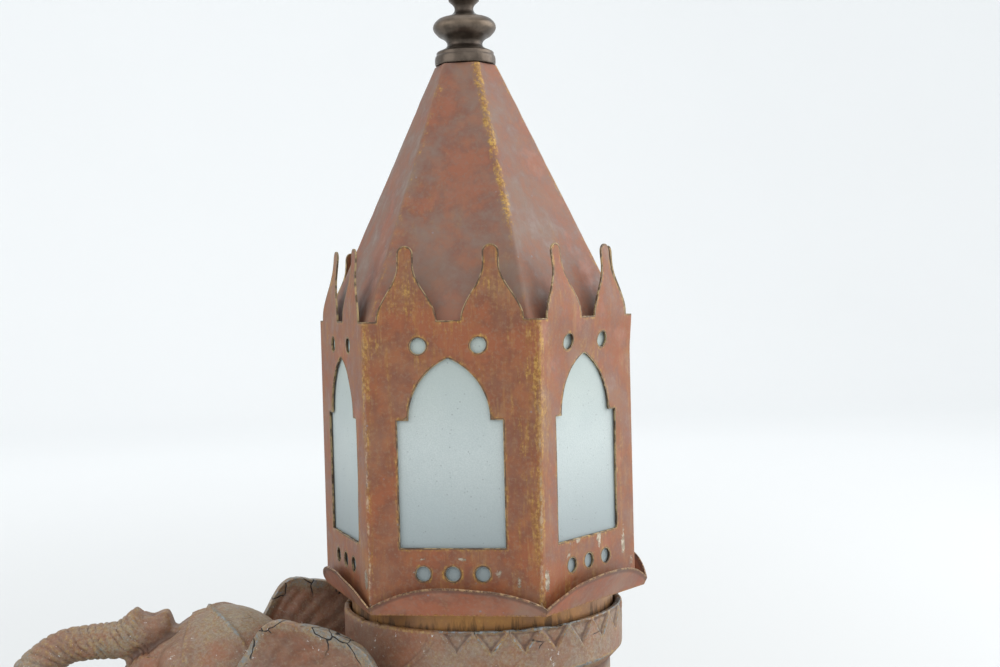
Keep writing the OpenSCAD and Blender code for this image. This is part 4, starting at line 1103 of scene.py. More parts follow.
def makeDrum():
    low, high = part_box("drum")
    z0, z1 = low[2] / mm, high[2] / mm
    r, lowR, footR = drumDims["r"], drumDims["low"], drumDims["foot"]
    step = z1 - drumDims["band"]
    rows = [(footR, z0), (footR, z0 + 3), (lowR, z0 + 4.5)]
    rows += [(lowR, z) for z in np.linspace(z0 + 6, step - 1.2, 18)]
    rows += [(lowR + 0.3, step - 0.3), (lowR + 1.1, step + 0.9), (lowR + 2.1, step + 2.1),
             (r - 1, step + 3.2), (r - 0.2, step + 4)]
    rows += [(r, z) for z in np.arange(step + 4.6, z1 - 0.8, 0.42)]
    rows += [(r - 0.1, z1 - 0.35), (r - 0.5, z1 - 0.02), (r - drumDims["mouth"] + 0.4, z1),
             (r - drumDims["mouth"], z1 - 0.4)]
    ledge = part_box("lantern_collar")[0][2] / mm - 0.3
    rows += [(r - drumDims["mouth"], ledge), (lowR - 4, ledge), (lowR - 4, z0 + 4), (4.9, z0 + 4),
             (4.9, z0)]
    ob = turnedShape("mouldedDrum", rows + [(footR, z0)], drumDims["around"])
    weld(ob, 2e-6, True)
    xyz = coords(ob) / mm
    radius = np.hypot(xyz[:, 0], xyz[:, 1])
    turn = np.degrees(np.arctan2(xyz[:, 0], -xyz[:, 1]))     # 0 toward the near side, 90 toward the tail
    depth = z1 - xyz[:, 2]
    outerSkin = radius > lowR - 0.4
    # teeth, mirrored on the far side
    mirrored = np.where(turn > 90, 180 - turn, np.where(turn < -90, -180 - turn, turn))
    k = np.round((mirrored - drumDims["firstTooth"]) / drumDims["teeth"])
    local = (mirrored - drumDims["firstTooth"] - k * drumDims["teeth"]) / perRadian * r
    jitter = np.sin(k * 12.9898) * 0.35    # each tooth its own, though not at random
    along = (depth - drumDims["toothUp"]) / (drumDims["toothLong"] + jitter)
    halfHere = drumDims["toothHalf"] * (1 - along)
    inTooth = np.minimum(halfHere - np.abs(local - jitter * along), depth - drumDims["toothUp"] + 0.2)
    ridgeFrom, ridgeTo = drumDims["ridgeFrom"], drumDims["ridgeTo"]
    zone = ramp(mirrored, ridgeFrom + 2.5, ridgeFrom + 4.5) * (np.abs(mirrored) <= 90)
    rough = roughField(xyz, 3.2, 2.0, 3)
    sink = ramp(inTooth, -0.35, 0.85) * zone * drumDims["sunk"] * (1 + 0.3 * rough)
    lipUp = np.exp(-((inTooth + 0.55) / 0.55) ** 2) * zone * 0.2 * (depth < 9)
    # the raised curl that ends the pattern toward the head
    ridgeTurn = ridgeFrom + (ridgeTo - ridgeFrom) * np.clip((depth - 1.5) / 9.7, 0, 1.8) ** 1.6
    gapRidge = (mirrored - ridgeTurn) / perRadian * r
    curl = drumDims["curl"] * np.exp(-(gapRidge / 0.8) ** 2)
    curl = curl * ramp(depth, 0.6, 2.4) * ramp(-depth, -24, -17)
    bandSide = ramp(gapRidge, 0.4, 2.0) * 0.3
    sag = 0.35 * roughField(xyz, 30, 7.0, 2) + 0.12 * roughField(xyz, 6, 5.0, 3) + 0.05 * rough
    onBand = depth < drumDims["carved"]
    out = sag * ramp(depth, 0, 2) + np.where(onBand, curl + lipUp - sink + bandSide * 0.5, 0)
    out = np.where(outerSkin, out, 0)
    nick = roughField(xyz, 4.5, 11.0, 3)
    xyz[:, 2] -= np.where(outerSkin & (depth < 1.2), np.clip(nick - 0.15, 0, 1) * 1.0, 0)
    xyz[:, :2] *= (1 + out / np.maximum(radius, 1))[:, None]
    setCoords(ob, xyz * mm)
    worn = 0.12 + 0.66 * ramp(mirrored + 9 * roughField(xyz, 9, 6.0, 3), ridgeTo, ridgeFrom + 14)
    worn = np.clip(worn + 0.2 * ramp(np.abs(turn), 60, 110), 0, 1) * outerSkin
    worn = worn * (0.55 + 0.6 * roughField(xyz, 14, 3.0, 3) + 0.25)
    setMask(ob, "worn", np.clip(worn, 0, 1))
    raw = peaks(ob, 5, 4200)
    setMask(ob, "peak", np.clip(raw * np.where(onBand, 1.0, 0.6), -1, 1))
    edgeLine = np.exp(-((inTooth + 0.05) / 0.45) ** 2) * zone * (depth < 8)
    crack = np.where(outerSkin & (depth < 7), 0.28 + 0.5 * roughField(xyz, 7, 9.0, 2), 0) * zone
    setMask(ob, "crack", np.clip(crack + edgeLine * 0.2, 0, 1))
    high = ramp(coords(ob)[:, 2] / mm, z0 + 4, z0 + 20)
    moved = coords(ob)
    moved[:, :2] += (sideways[None, :] * drumDims["shift"][0] * high[:, None]) * mm
    moved[:, 2] += drumDims["shift"][1] * mm * high
    setCoords(ob, moved)
    smoothed(ob, 40)
    finish(ob, "elephant", "cast_paint", castPaint("drumCast", goldAmount=0.85, crackSize=0.013), "drum")
    print("drum moulded,", len(ob.data.polygons), "faces")


makeDrum()


# stepped base: each step as (in from the foot's edge, height) in mm
baseDims = {"steps": [(0, 1.5), (0, 10.5), (1.6, 10.5), (1.6, 12.5), (4.0, 12.5), (4.0, 16)], "cut": 14.0,
            "bevel": 0.7, "grid": 3.0, "inlet": 7.2}


def makeBase():
    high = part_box("base_plinth")[1]
    halfX, halfY = high[0] / mm, high[1] / mm
    top = high[2] / mm

    def ringAt(less):
        c = baseDims["cut"] - less * 0.586
        x, y = halfX - less, halfY - less
        return [(-x + c, -y), (x - c, -y), (x, -y + c), (x, y - c), (x - c, y), (-x + c, y), (-x, y - c),
                (-x, -y + c)]
    letGo()
    bm = bmesh.new()
    first = [bm.verts.new((x * mm, y * mm, 1.5 * mm)) for x, y in ringAt(0)]
    bm.faces.new(reversed(first))
    under = first
    for less, z in baseDims["steps"][1:]:
        z = z / 16 * top if z > 1.5 else z
        above = [bm.verts.new((x * mm, y * mm, z * mm)) for x, y in ringAt(less)]
        for i in range(8):
            bm.faces.new((under[i], under[(i + 1) % 8], above[(i + 1) % 8], above[i]))
        under = above
    bm.faces.new(under)
    mesh = bpy.data.meshes.new("castBase")
    bm.to_mesh(mesh)
    bm.free()
    ob = added("castBase", mesh)
    weld(ob, 1e-7, True)
    modify(ob, "BEVEL", width=baseDims["bevel"] * mm, segments=3, limit_method="ANGLE",
           angle_limit=math.radians(25))
    cutAcross(ob, np.arange(-94, 95, baseDims["grid"]) * mm, 0)
    cutAcross(ob, np.arange(-51, 52, baseDims["grid"]) * mm, 1)
    openAll(ob)
    bpy.ops.mesh.quads_convert_to_tris()
    bpy.ops.mesh.tris_convert_to_quads()
    shut()
    xyz = coords(ob) / mm
    lift = 0.25 * roughField(xyz, 22, 3.0, 2) + 0.08 * roughField(xyz, 7, 4.0, 2)
    inlet = np.hypot(xyz[:, 1], xyz[:, 2] - baseDims["inlet"])
    hold = np.where(xyz[:, 0] > halfX - 3, ramp(inlet, 6, 12), 1) * ramp(xyz[:, 2], 1.6, 6)
    xyz -= normals(ob) * (np.clip(lift + 0.15, 0, 1) * hold)[:, None]
    setCoords(ob, xyz * mm)
    setMask(ob, "peak", peaks(ob, 4, 1500))
    setMask(ob, "worn", np.clip(0.3 + 0.5 * roughField(xyz, 26, 6.0, 3), 0, 1) * 0.7)
    setMask(ob, "crack", np.zeros(len(xyz)))
    smoothed(ob, 35)
    finish(ob, "elephant", "cast_paint", castMaterials["body"], "base_plinth")
    print("base cast,", len(ob.data.polygons), "faces")


castMaterials = {"body": castPaint("elephantCast", goldAmount=0.75)}
makeBase()


# elephant, in mm: forms joined, remeshed into one casting, then worked over
beast = {
    "belly": 115.0, "head": 172.0, "voxel": 1.15, "soften": 6,
    "barrel": [(-76, 26, 16, 20), (-70, 20, 27, 31), (-60, 12, 35, 36.5), (-44, 4, 41.5, 40),
               (-22, 0, 45, 42), (0, -1, 46, 42), (24, 0, 46, 42), (46, 2, 44, 42), (64, 4, 39, 40.5),
               (78, 5, 32.5, 36.5), (88, 5.5, 24.5, 29.5), (95, 6, 14, 19), (98, 6, 6, 9)],
    "neck": [(-92, 0, 163, 24), (-80, 0, 158, 27), (-66, 0, 150, 30), (-52, 0, 140, 33.5),
             (-36, 0, 130, 34)],
    "frontLeg": [(0, 17, 17), (5, 16.8, 16.6), (12, 15.4, 15), (24, 14.3, 14), (38, 14.8, 14.2),
                 (50, 16, 15), (62, 18, 16.4), (78, 20.5, 18), (96, 20, 17)],
    "hindLeg": [(0, 17.5, 17), (5, 17, 16.6), (12, 15.6, 15), (24, 15.2, 14.2), (36, 16.6, 15),
                (50, 20, 17), (64, 24, 19), (80, 26, 19.5), (98, 22, 17)],
    "loopMid": (-133, 167),
    "loop": [(252, 19.4, 11.9), (232, 20.2, 11.1), (212, 20.9, 10.1), (194, 21.4, 9.3), (176, 21.6, 8.8),
             (158, 21.9, 8.1), (140, 23.1, 6.9), (122, 23.8, 5.9), (104, 24.2, 5.7), (88, 24.3, 5.7)],
    "clothX": 43.0, "clothUp": 2.0, "wrinkle": 2.7, "wrinkleDeep": 0.62,
    "eye": (-106.5, 17.2, 168.0), "toes": (-60, -20, 20, 60), "drumR": 44.6, "drumFoot": 151.9,
    "plinth": 16.0, "tip": -116.6,
}
trunkWay = [(-95, 159, 20.5), (-104, 154, 19.3), (-113, 149.6, 17.2), (-122, 146.6, 15),
            (-131, 145.9, 13.2)]
midX, midZ = beast["loopMid"]
trunkWay += [(midX + d * math.cos(math.radians(a)), midZ + d * math.sin(math.radians(a)), r)
             for a, d, r in beast["loop"]]
trunkWay += [(-122.5, 191.7, 6.1), (-118.5, 192.5, 6.6), (-114.5, 194.2, 6.8), (-110, 195.9, 6.3),
             (-104.6, 197.2, 5.3)]


def eased(points, steps=6):
    # a smooth run through the points, every value of a point alike
    p = np.array(points, float)
    p = np.vstack([2 * p[0] - p[1], p, 2 * p[-1] - p[-2]])
    out = []
    for i in range(1, len(p) - 2):
        for k in range(steps):
            t = k / steps
            a, b, c, d = p[i - 1], p[i], p[i + 1], p[i + 2]
            out.append(0.5 * (2 * b + (c - a) * t + (2 * a - 5 * b + 4 * c - d) * t ** 2
                              + (3 * b - a - 3 * c + d) * t ** 3))
    out.append(p[-2])
    return np.array(out)


def roundRod(name, points, sides=20):
    # a rod through (x, y, z, radius) in mm, as a curve with a round section made a mesh
    letGo()
    curve = bpy.data.curves.new(name, "CURVE")
    curve.dimensions, curve.bevel_depth, curve.use_fill_caps = "3D", mm, True
    curve.bevel_resolution = max(0, (sides - 4) // 2)
    spline = curve.splines.new("POLY")
    spline.points.add(len(points) - 1)
    for point, (x, y, z, r) in zip(spline.points, points):
        point.co = (x * mm, y * mm, z * mm, 1)
        point.radius = r
    ob = added(name, curve)
    pick(ob)
    bpy.ops.object.convert(target="MESH")
    return weld(bpy.context.object, 1e-6, True)


def ringForm(name, count, around, place):
    # a closed form of rings; place(ring, cos, sin) gives each point in mm
    ob = turnedShape(name, [(10, i) for i in range(count)], around, closeBottom=True, closeTop=True)
    xyz = coords(ob) / mm
    ring = np.round(xyz[:, 2]).astype(int)
    angle = np.arctan2(xyz[:, 1], xyz[:, 0])
    setCoords(ob, place(ring, np.cos(angle), np.sin(angle)) * mm)
    return weld(ob, 1e-7, True)


def ball(name, x, y, z, rx, ry, rz, lean=0.0):
    letGo()
    bpy.ops.mesh.primitive_uv_sphere_add(segments=40, ring_count=24, radius=1,
                                         location=(x * mm, y * mm, z * mm),
                                         rotation=(0, math.radians(lean), 0),
                                         scale=(rx * mm, ry * mm, rz * mm))
    ob = bpy.context.object
    ob.name = name
    return bakePlace(ob)


def bodyForms():
    bar = eased(beast["barrel"], 3)
    forms = [ringForm("barrel", len(bar), 64, lambda i, c, s: np.column_stack(
        [bar[i, 0], c * bar[i, 2], beast["belly"] + bar[i, 1] + s * bar[i, 3]]))]
    forms.append(roundRod("neck", eased(beast["neck"], 3), 36))
    forms.append(ball("skull", -87.5, 0, beast["head"], 27, 28.5, 29.3))
    forms.append(ball("brow", -99, 0, beast["head"] - 8, 19.5, 20.5, 29, 24))
    forms.append(ball("forehead", -104.5, 0, beast["head"], 18, 15.5, 23.5))
    forms.append(ball("jaw", -101, 0, 141, 9, 11, 15, 30))
    forms.append(roundRod("trunk", [(x, 0, z, r) for x, z, r in eased(trunkWay, 4)], 32))
    for side in (-1, 1):
        front, hind = eased(beast["frontLeg"], 3), eased(beast["hindLeg"], 3)
        # each leg: its rings, the foot's middle, and how the leg leans for each mm up
        for name, leg, x, y, leanX, leanY in (("frontLeg", front, -45, 23.5, -0.03, 0.015),
                                              ("hindLeg", hind, 64, 23, -0.045, 0.01)):
            forms.append(ringForm(name, len(leg), 40, lambda i, c, s: np.column_stack(
                [x + leg[i, 0] * leanX + c * leg[i, 1], side * (y + leg[i, 0] * leanY) + s * leg[i, 2],
                 16 + leg[i, 0]])))
        forms.append(ball("cheek", -96, side * 16, 158, 12, 9, 13))
        forms.append(ball("temple", -97, side * 14, 186, 10, 9, 9))
        forms.append(ball("tuskRoot", -105, side * 15.2, 151.5, 7, 6.2, 6.2, 30))
    forms.append(turnedShape("seat", [(46, 115), (46, 152)], 96, True, True))
    return forms


def nearWay(xyz, way):
    # how far along the way each of its points is, and each xyz's nearest one and distance from it
    run = np.r_[0, np.cumsum(np.linalg.norm(np.diff(way, axis=0), axis=1))]
    best, found = np.full(len(xyz), 1e9), np.zeros(len(xyz), int)
    for k, p in enumerate(way):
        d = ((xyz - p) ** 2).sum(1)
        closer = d < best
        best[closer], found[closer] = d[closer], k
    return run, found, np.sqrt(best)


def ridgeAlong(xyz, points, width):
    way = np.array([p for a, b in zip(points, points[1:]) for p in np.linspace(a, b, 24)], float)
    return np.exp(-(nearWay(xyz, way)[2] / width) ** 2)


def carve(ob):
    xyz, out = coords(ob) / mm, normals(ob)
    way3 = eased(trunkWay, 8)
    way = np.column_stack([way3[:, 0], way3[:, 0] * 0, way3[:, 1]])
    isTrunk = (xyz[:, 0] < -99) & (xyz[:, 2] > 125)
    idx = np.where(isTrunk)[0]
    run, found, far = nearWay(xyz[idx], way)
    ahead = np.gradient(way, axis=0)
    ahead /= np.linalg.norm(ahead, axis=1)[:, None]
    up = np.column_stack([-ahead[:, 2], ahead[:, 0] * 0, ahead[:, 0]])
    off = xyz[idx] - way[found]
    high = np.einsum("ij,ij->i", off, up[found])
    along = run[found] + np.einsum("ij,ij->i", off, ahead[found])
    total = run[-1]
    # soft ridges across the trunk, slanting on the returning part
    slant = 0.62 * ramp(along, total - 100, total - 50)
    noise1 = roughField(xyz[idx], 9, 2.0, 2)
    noise2 = roughField(xyz[idx], 3.0, 3.0, 2)
    phase = (along + slant * high + 1.7 * noise1) / beast["wrinkle"]
    wave = np.abs(np.sin(math.pi * phase))
    wave = 1 - (1 - wave) ** 2.2
    deep = beast["wrinkleDeep"] * ramp(along, 22, 60) * ramp(total - along, 3, 12) * (0.75 + 0.6 * noise2)
    inside = ramp(far - way3[found, 2] * 1.45, 3, 0)
    lift = np.zeros(len(xyz))
    lift[idx] = (wave - 0.62) * deep * 1.5 * inside
    # folds under the big bend and at the trunk's root
    folds = np.exp(-(((along - 18) % 9 - 4.5) / 1.2) ** 2)
    lift[idx] -= 0.5 * inside * folds * ramp(-high, -2, 6) * ramp(60 - along, 0, 20)
    x, y, z = xyz.T
    # the brow cloth's edge from the crown to each ear, its middle seam, and the crease the trunk rests in
    for s in (-1, 1):
        lift += 1.0 * ridgeAlong(xyz, [(-92, 0, 201.2), (-88, s * 8, 199.9), (-83, s * 14.5, 196.6),
                                       (-78.5, s * 19, 192.2), (-74, s * 22, 188.2)], 1.0)
        lift += 0.45 * ridgeAlong(xyz, [(-93, s * 1.2, 201), (-101, s * 4, 197.5), (-108, s * 7, 190),
                                        (-112, s * 9.5, 178)], 0.8)
        lift -= 1.7 * ridgeAlong(xyz, [(-121, s * 4, 184), (-117, s * 6, 187.5), (-112, s * 6.8, 190.6),
                                       (-107, s * 6.6, 193.4), (-103, s * 5.5, 195.5)], 1.3)
        # eye with its lids
        eye = np.array(beast["eye"]) * (1, s, 1)
        d = np.linalg.norm((xyz - eye) * (1, 1, 1.25), axis=1)
        lift += 1.1 * np.exp(-(d / 2.3) ** 2) + 0.8 * np.exp(-((d - 4.3) / 0.8) ** 2)
        lift -= 0.7 * np.exp(-((d - 3.1) / 0.6) ** 2)
        upper = [(-112, s * 15, 171), (-107, s * 17.5, 174.5), (-101, s * 18.5, 173)]
        lower = [(-111, s * 14, 163), (-106, s * 17.5, 161.5), (-101, s * 18.5, 163)]
        lift -= 0.5 * ridgeAlong(xyz, upper, 0.9) + 0.5 * ridgeAlong(xyz, lower, 0.8)
        # mouth line
        lift -= 1.0 * ridgeAlong(xyz, [(-108, s * 9, 137), (-102, s * 13, 143), (-96, s * 18, 148),
                                       (-92, s * 20, 151)], 1.0)
        lift += 1.2 * ridgeAlong(xyz, [(-104, s * 18, 152), (-107, s * 18.5, 150)], 3.2)
    # shoulder and haunch folds
    for s in (-1, 1):
        for x0, z0 in ((-62, 128), (-33, 116), (46, 112)):
            lift -= 0.6 * ridgeAlong(xyz, [(x0, s * 44, z0), (x0 + 4, s * 44, z0 - 18),
                                           (x0 + 2, s * 38, z0 - 38)], 2.0)
    # knees
    legs = ramp(-z, -92, -72)
    knee = np.sin((z + 2 * roughField(xyz, 14, 5.0, 2)) / 2.6) * np.exp(-((z - 62) / 17) ** 2)
    lift += 0.35 * knee * legs * (np.abs(y) < 45)
    # toenails round the front of each foot
    for fx, fy in ((-45, -23.5), (-45, 23.5), (64, -23), (64, 23)):
        dx, dy = x - fx, y - fy
        turn = np.degrees(np.arctan2(dy, -dx))
        nearFoot = (np.hypot(dx, dy) < 21) & (z < 32)
        for toe in beast["toes"]:
            lift += np.where(nearFoot, 1.3 * np.exp(-((turn - toe) / 11) ** 4 - ((z - 20) / 3.6) ** 4), 0)
        lift -= np.where(nearFoot, 0.5 * np.exp(-((z - 25.5) / 1.2) ** 2), 0)
    # saddle cloth with a raised border and a row of points
    onBarrel = (np.abs(x) < 60) & (z > 96)
    hem = np.minimum(beast["clothX"] - np.abs(x), z - 107)
    cloth = ramp(hem, -0.6, 0.8) * onBarrel
    border = np.exp(-((hem - 2.2) / 0.9) ** 2) + 0.8 * np.exp(-((hem - 9.5) / 0.7) ** 2)
    low = (z - 107 < beast["clothX"] - np.abs(x))
    run1 = np.where(low, x, z)
    tooth = np.abs((run1 / 6.6) % 1 - 0.5) * 2
    points = np.exp(-((hem - 3.6 - 4.4 * tooth) / 0.7) ** 2) * (hem > 2.5) * (hem < 9.5)
    lift += cloth * (beast["clothUp"] + 0.5 * border + 0.45 * points)
    # skin: broad lumps, fine creases
    lumps = roughField(xyz, 24, 7.0, 2)
    crease = np.abs(roughField(xyz, 5.0, 8.0, 3))
    lift += 0.35 * lumps + (0.16 - 0.5 * crease * (crease < 0.32)) * (1 - 0.7 * cloth) * 0.5
    xyz = xyz + out * lift[:, None]
    # the trunk's two lips, and the hollow between them
    x, y, z = xyz.T
    tip = (x > -124) & (x < -98.5) & (z > 188)
    topSide = ramp(out[:, 2], -0.1, 0.6)
    past = x - beast["tip"]
    finger = np.exp(-(past / np.where(past < 0, 3.4, 1.6)) ** 2)
    rise = 1.7 * finger - 1.2 * np.exp(-((x + 111) / 2.8) ** 2) - 0.9 * ramp(x, -109, -101)
    rise -= 1.6 * np.exp(-((x + 110) / 4.2) ** 2 - (y / 2.6) ** 2)
    xyz[:, 2] += np.where(tip, rise * topSide, 0)
    # the drum's place
    radius = np.hypot(xyz[:, 0], xyz[:, 1])
    inDrum = (radius < beast["drumR"]) & (xyz[:, 2] > beast["drumFoot"])
    xyz[inDrum, 2] = beast["drumFoot"]
    xyz[:, 2] = np.maximum(xyz[:, 2], beast["plinth"])
    setCoords(ob, xyz * mm)
    return cloth


def onHead(face):
    # the trunk and the crown, whose faces are made finer
    x, _, z = np.array(face.calc_center_median()) / mm
    return (x < -98 and z > 130) or (x < -70 and z > 180)


def makeElephant():
    ob = joined(bodyForms(), "elephantBody")
    modify(ob, "REMESH", mode="VOXEL", voxel_size=beast["voxel"] * mm, adaptivity=0)
    modify(ob, "SMOOTH", factor=0.5, iterations=beast["soften"])
    openSome(ob, "FACE", onHead)
    bpy.ops.mesh.subdivide(number_cuts=1, smoothness=0.6)
    shut()
    cloth = carve(ob)
    xyz = coords(ob) / mm
    fine, broad = peaks(ob, 4, 3600), peaks(ob, 24, 900)
    x, z = xyz[:, 0], xyz[:, 2]
    place = np.exp(-(((x + 84) / 14) ** 2 + ((z - 200) / 12) ** 2)) + 0.8 * ramp(-x, 104, 125) * (z > 130)
    place += 0.35 * ramp(z, 140, 175) + 0.5 * np.exp(-((z - 22) / 8) ** 2) + 0.3 * cloth
    field = roughField(xyz, 15, 4.0, 3)
    setMask(ob, "peak", np.clip(0.5 * fine + 0.35 * broad, -1, 1))
    setMask(ob, "worn", np.clip(place * (0.75 + 0.7 * field), 0, 1))
    setMask(ob, "crack", np.clip(0.15 + 0.5 * field, 0, 0.5) * (z > 150))
    halves = []
    for side, name, node in ((-1, "elephantNear", "elephant_left"), (1, "elephantFar", "elephant_right")):
        half = copied(ob, name)
        openAll(half)
        bpy.ops.mesh.bisect(plane_co=(0, 0.00003 * side, 0), plane_no=(0, 1, 0), use_fill=True,
                            clear_inner=side > 0, clear_outer=side < 0)
        shut()
        smoothed(half, 60)
        finish(half, "elephant", "cast_paint", castMaterials["skin"], node)
        halves.append(half)
    bpy.data.objects.remove(ob)
    print("elephant cast,", [len(h.data.polygons) for h in halves], "faces")


castMaterials["skin"] = castPaint("elephantSkin", goldAmount=0.85, crackSize=0.011)
makeElephant()


# ears, in mm: fluted sheets with a thick rolled rim
earDims = {
    "line": [(2.6, -21), (6, -16.4), (9.6, -11.8), (13, -8.2), (17.6, -6.3), (25.2, -7.8), (33.4, -10.2),
             (40.8, -13.8), (44.3, -17.6), (46.8, -23), (48, -32), (47, -42), (43, -52), (37, -61),
             (29, -69), (20, -75), (12, -77), (6.5, -73), (3.5, -65), (2.5, -55), (1, -45), (0.2, -34),
             (0.6, -26)],
    "mid": (20.0, -38.0), "thick": 2.4, "rings": 30, "root": (-81, -27.5, 210), "turn": -17,
    "back": (2.8, 0.0), "raise": (1.2, -0.8),
}


def makeEar(side, name, node):
    line = eased(earDims["line"] + earDims["line"][:1], 8)[:-1]
    mid = np.array(earDims["mid"])
    letGo()
    bpy.ops.mesh.primitive_circle_add(vertices=len(line), radius=0.03)
    ob = bpy.context.object
    ob.name = name
    flat = np.column_stack([line - mid, np.zeros(len(line))]) * mm
    setCoords(ob, flat)
    pick(ob)
    bpy.ops.object.mode_set(mode="EDIT")
    bpy.ops.mesh.select_mode(type="EDGE")
    bpy.ops.mesh.select_all(action="SELECT")
    sizes = np.r_[np.linspace(1, 0.86, 9), np.linspace(0.86, 0.03, earDims["rings"])[1:]]
    for before, after in zip(sizes, sizes[1:]):
        bpy.ops.mesh.extrude_edges_move(TRANSFORM_OT_translate={"value": (0, 0, 0)})
        bpy.ops.transform.resize(value=(after / before, after / before, 1), center_override=(0, 0, 0))
    bpy.ops.mesh.merge(type="CENTER")
    bpy.ops.mesh.select_all(action="SELECT")
    bpy.ops.mesh.normals_make_consistent(inside=False)
    shut()
    modify(ob, "SOLIDIFY", thickness=earDims["thick"] * mm, offset=0)
    modify(ob, "BEVEL", width=0.8 * mm, segments=4, limit_method="ANGLE", angle_limit=math.radians(60))
    modify(ob, "SUBSURF", subdivision_type="SIMPLE", levels=1, render_levels=1)
    local = coords(ob) / mm
    a, b, c = local.T
    angle = np.arctan2(b, a)
    lineAngle = np.arctan2(line[:, 1] - mid[1], line[:, 0] - mid[0])
    order = np.argsort(lineAngle)
    reach = np.interp(angle, lineAngle[order], np.hypot(*(line - mid).T)[order], period=math.tau)
    t = np.hypot(a, b) / reach
    field = roughField(local * (1, 1, 0.2), 9, 5.0 + side, 3)
    rim = np.exp(-((t - 0.95) / 0.065) ** 2) + (t > 0.95) * (1 - np.exp(-((t - 0.95) / 0.065) ** 2))
    away = np.hypot(a + 22, b + 2)
    fan = np.arctan2(b + 2, a + 22)
    flute = np.sin(fan * 42 + 1.8 * field) * ramp(away, 14, 30) * ramp(1 - t, 0.07, 0.2)
    root = ramp(a + mid[0], 14, 2)
    cup = 3.6 * ramp(t, 0.35, 1.0) * (1 - root) - 1.4 * (1 - t) * (1 - root)
    skin = 1 + 0.45 * rim * (1 - 0.6 * root)
    c = c * skin + cup + 0.2 * flute + 0.3 * field + 0.35 * rim * np.sin(angle * 5 + field)
    nick = np.clip(roughField(local, 4, 8.0, 3) - 0.25, 0, 1) * rim
    spread = 1 - 0.012 * nick - 0.006 * np.sin(angle * 9)
    a, b = a * spread + mid[0], b * spread + mid[1]
    c += earDims["thick"] / 2 + 0.4
    turn = math.radians(earDims["turn"])
    x0, y0, z0 = earDims["root"]
    cos, sin = math.cos(turn), math.sin(turn)
    world = np.column_stack([x0 + a * cos + c * sin, y0 + a * sin - c * cos, z0 + b])
    world[:, 0] += earDims["back"][side > 0] * ramp(a, 12, 44)
    world[:, 2] += earDims["raise"][side > 0] * ramp(world[:, 2], 150, 185)
    if side > 0:
        world[:, 1] *= -1
    setCoords(ob, world * mm)
    weld(ob, 1e-7, True)
    fine = peaks(ob, 6, 1800)
    n = len(world)
    field2 = roughField(world, 13, 3.0, 3)
    top = ramp(world[:, 2], 180, 200)
    setMask(ob, "peak", np.clip(fine + 0.25 * rim[:n], -1, 1))
    setMask(ob, "worn", np.clip((0.25 + 0.9 * rim[:n] * (0.5 + 0.5 * top)) * (0.8 + 0.7 * field2), 0, 1))
    setMask(ob, "crack", np.clip(rim[:n] * 0.9 + 0.3 + 0.5 * field2, 0, 1) * top)
    smoothed(ob, 60)
    finish(ob, "elephant", "cast_paint", castMaterials["ear"], node)
    print("ear", name, len(ob.data.polygons), "faces")


castMaterials["ear"] = castPaint("earCast", goldAmount=0.6, zinc=0.06, crackSize=0.012)
makeEar(-1, "earNear", "ear_left")
makeEar(1, "earFar", "ear_right")


# tusks and tail, each point as (x, y, z, radius) in mm
tuskDims = [(-103, 15, 152, 4.3), (-110, 18.5, 145.5, 4.1), (-118, 21.5, 141, 3.7), (-126, 23, 139, 3.1),
            (-133, 23.2, 139.6, 2.2), (-137, 22.7, 141, 1.35), (-138.6, 22.4, 142.1, 0.5)]
tailDims = [(88, 0, 139, 4.4), (96, 0, 137, 4.2), (101, 1, 127, 3.6), (103, 2, 111, 3), (102, 3, 95, 2.6),
            (100, 3, 81, 2.6), (99.5, 3, 73, 3.8), (99.5, 3, 63, 3.6), (100, 3, 56.5, 1.8),
            (100, 3, 55, 0.8)]


def makeTusks():
    ivory = castPaint("tuskCast", paint=(150, 128, 100), bloom=(132, 116, 98), gold=(180, 146, 84),
                      goldAmount=0.5)
    for side, name, node in ((-1, "tuskNear", "tusk_left"), (1, "tuskFar", "tusk_right")):
        ob = roundRod(name, [(x, side * y, z, r) for x, y, z, r in eased(tuskDims, 6)], 28)
        xyz = coords(ob) / mm
        grain = 0.12 * roughField(xyz * (0.35, 1, 1), 3, 2.0, 2)
        setCoords(ob, (xyz + normals(ob) * grain[:, None]) * mm)
        setMask(ob, "peak", peaks(ob, 3, 2000))
        setMask(ob, "worn", ramp(-xyz[:, 0], 116, 136) * 0.6)
        setMask(ob, "crack", np.zeros(len(xyz)))
        smoothed(ob, 50)
        finish(ob, "elephant", "tusk_metal", ivory, node)
    print("tusks set")


def makeTail():
    ob = roundRod("tailRope", eased(tailDims, 10), 28)
    xyz = coords(ob) / mm
    angle = np.arctan2(xyz[:, 1] - 2, xyz[:, 0] - 101)
    tuft = ramp(-xyz[:, 2], -78, -72)
    strands = np.sin(angle * 11 + xyz[:, 2] * 0.35) * 0.35 * tuft
    rings = np.sin(xyz[:, 2] * 2.2) * 0.14 * (1 - tuft)
    setCoords(ob, (xyz + normals(ob) * (strands + rings)[:, None]) * mm)
    setMask(ob, "peak", peaks(ob, 3, 2600))
    setMask(ob, "worn", np.full(len(xyz), 0.35))
    setMask(ob, "crack", np.zeros(len(xyz)))
    smoothed(ob, 50)
    finish(ob, "elephant", "cast_paint", castMaterials["skin"], "tail")
    print("tail hung")


makeTusks()
makeTail()


# frosted panes, in mm, a little taller than the windows
paneDims = {"thick": 2.0, "behind": 2.0, "foot": -2.5, "top": 83.6, "bevel": 0.25, "ripple": 0.05}


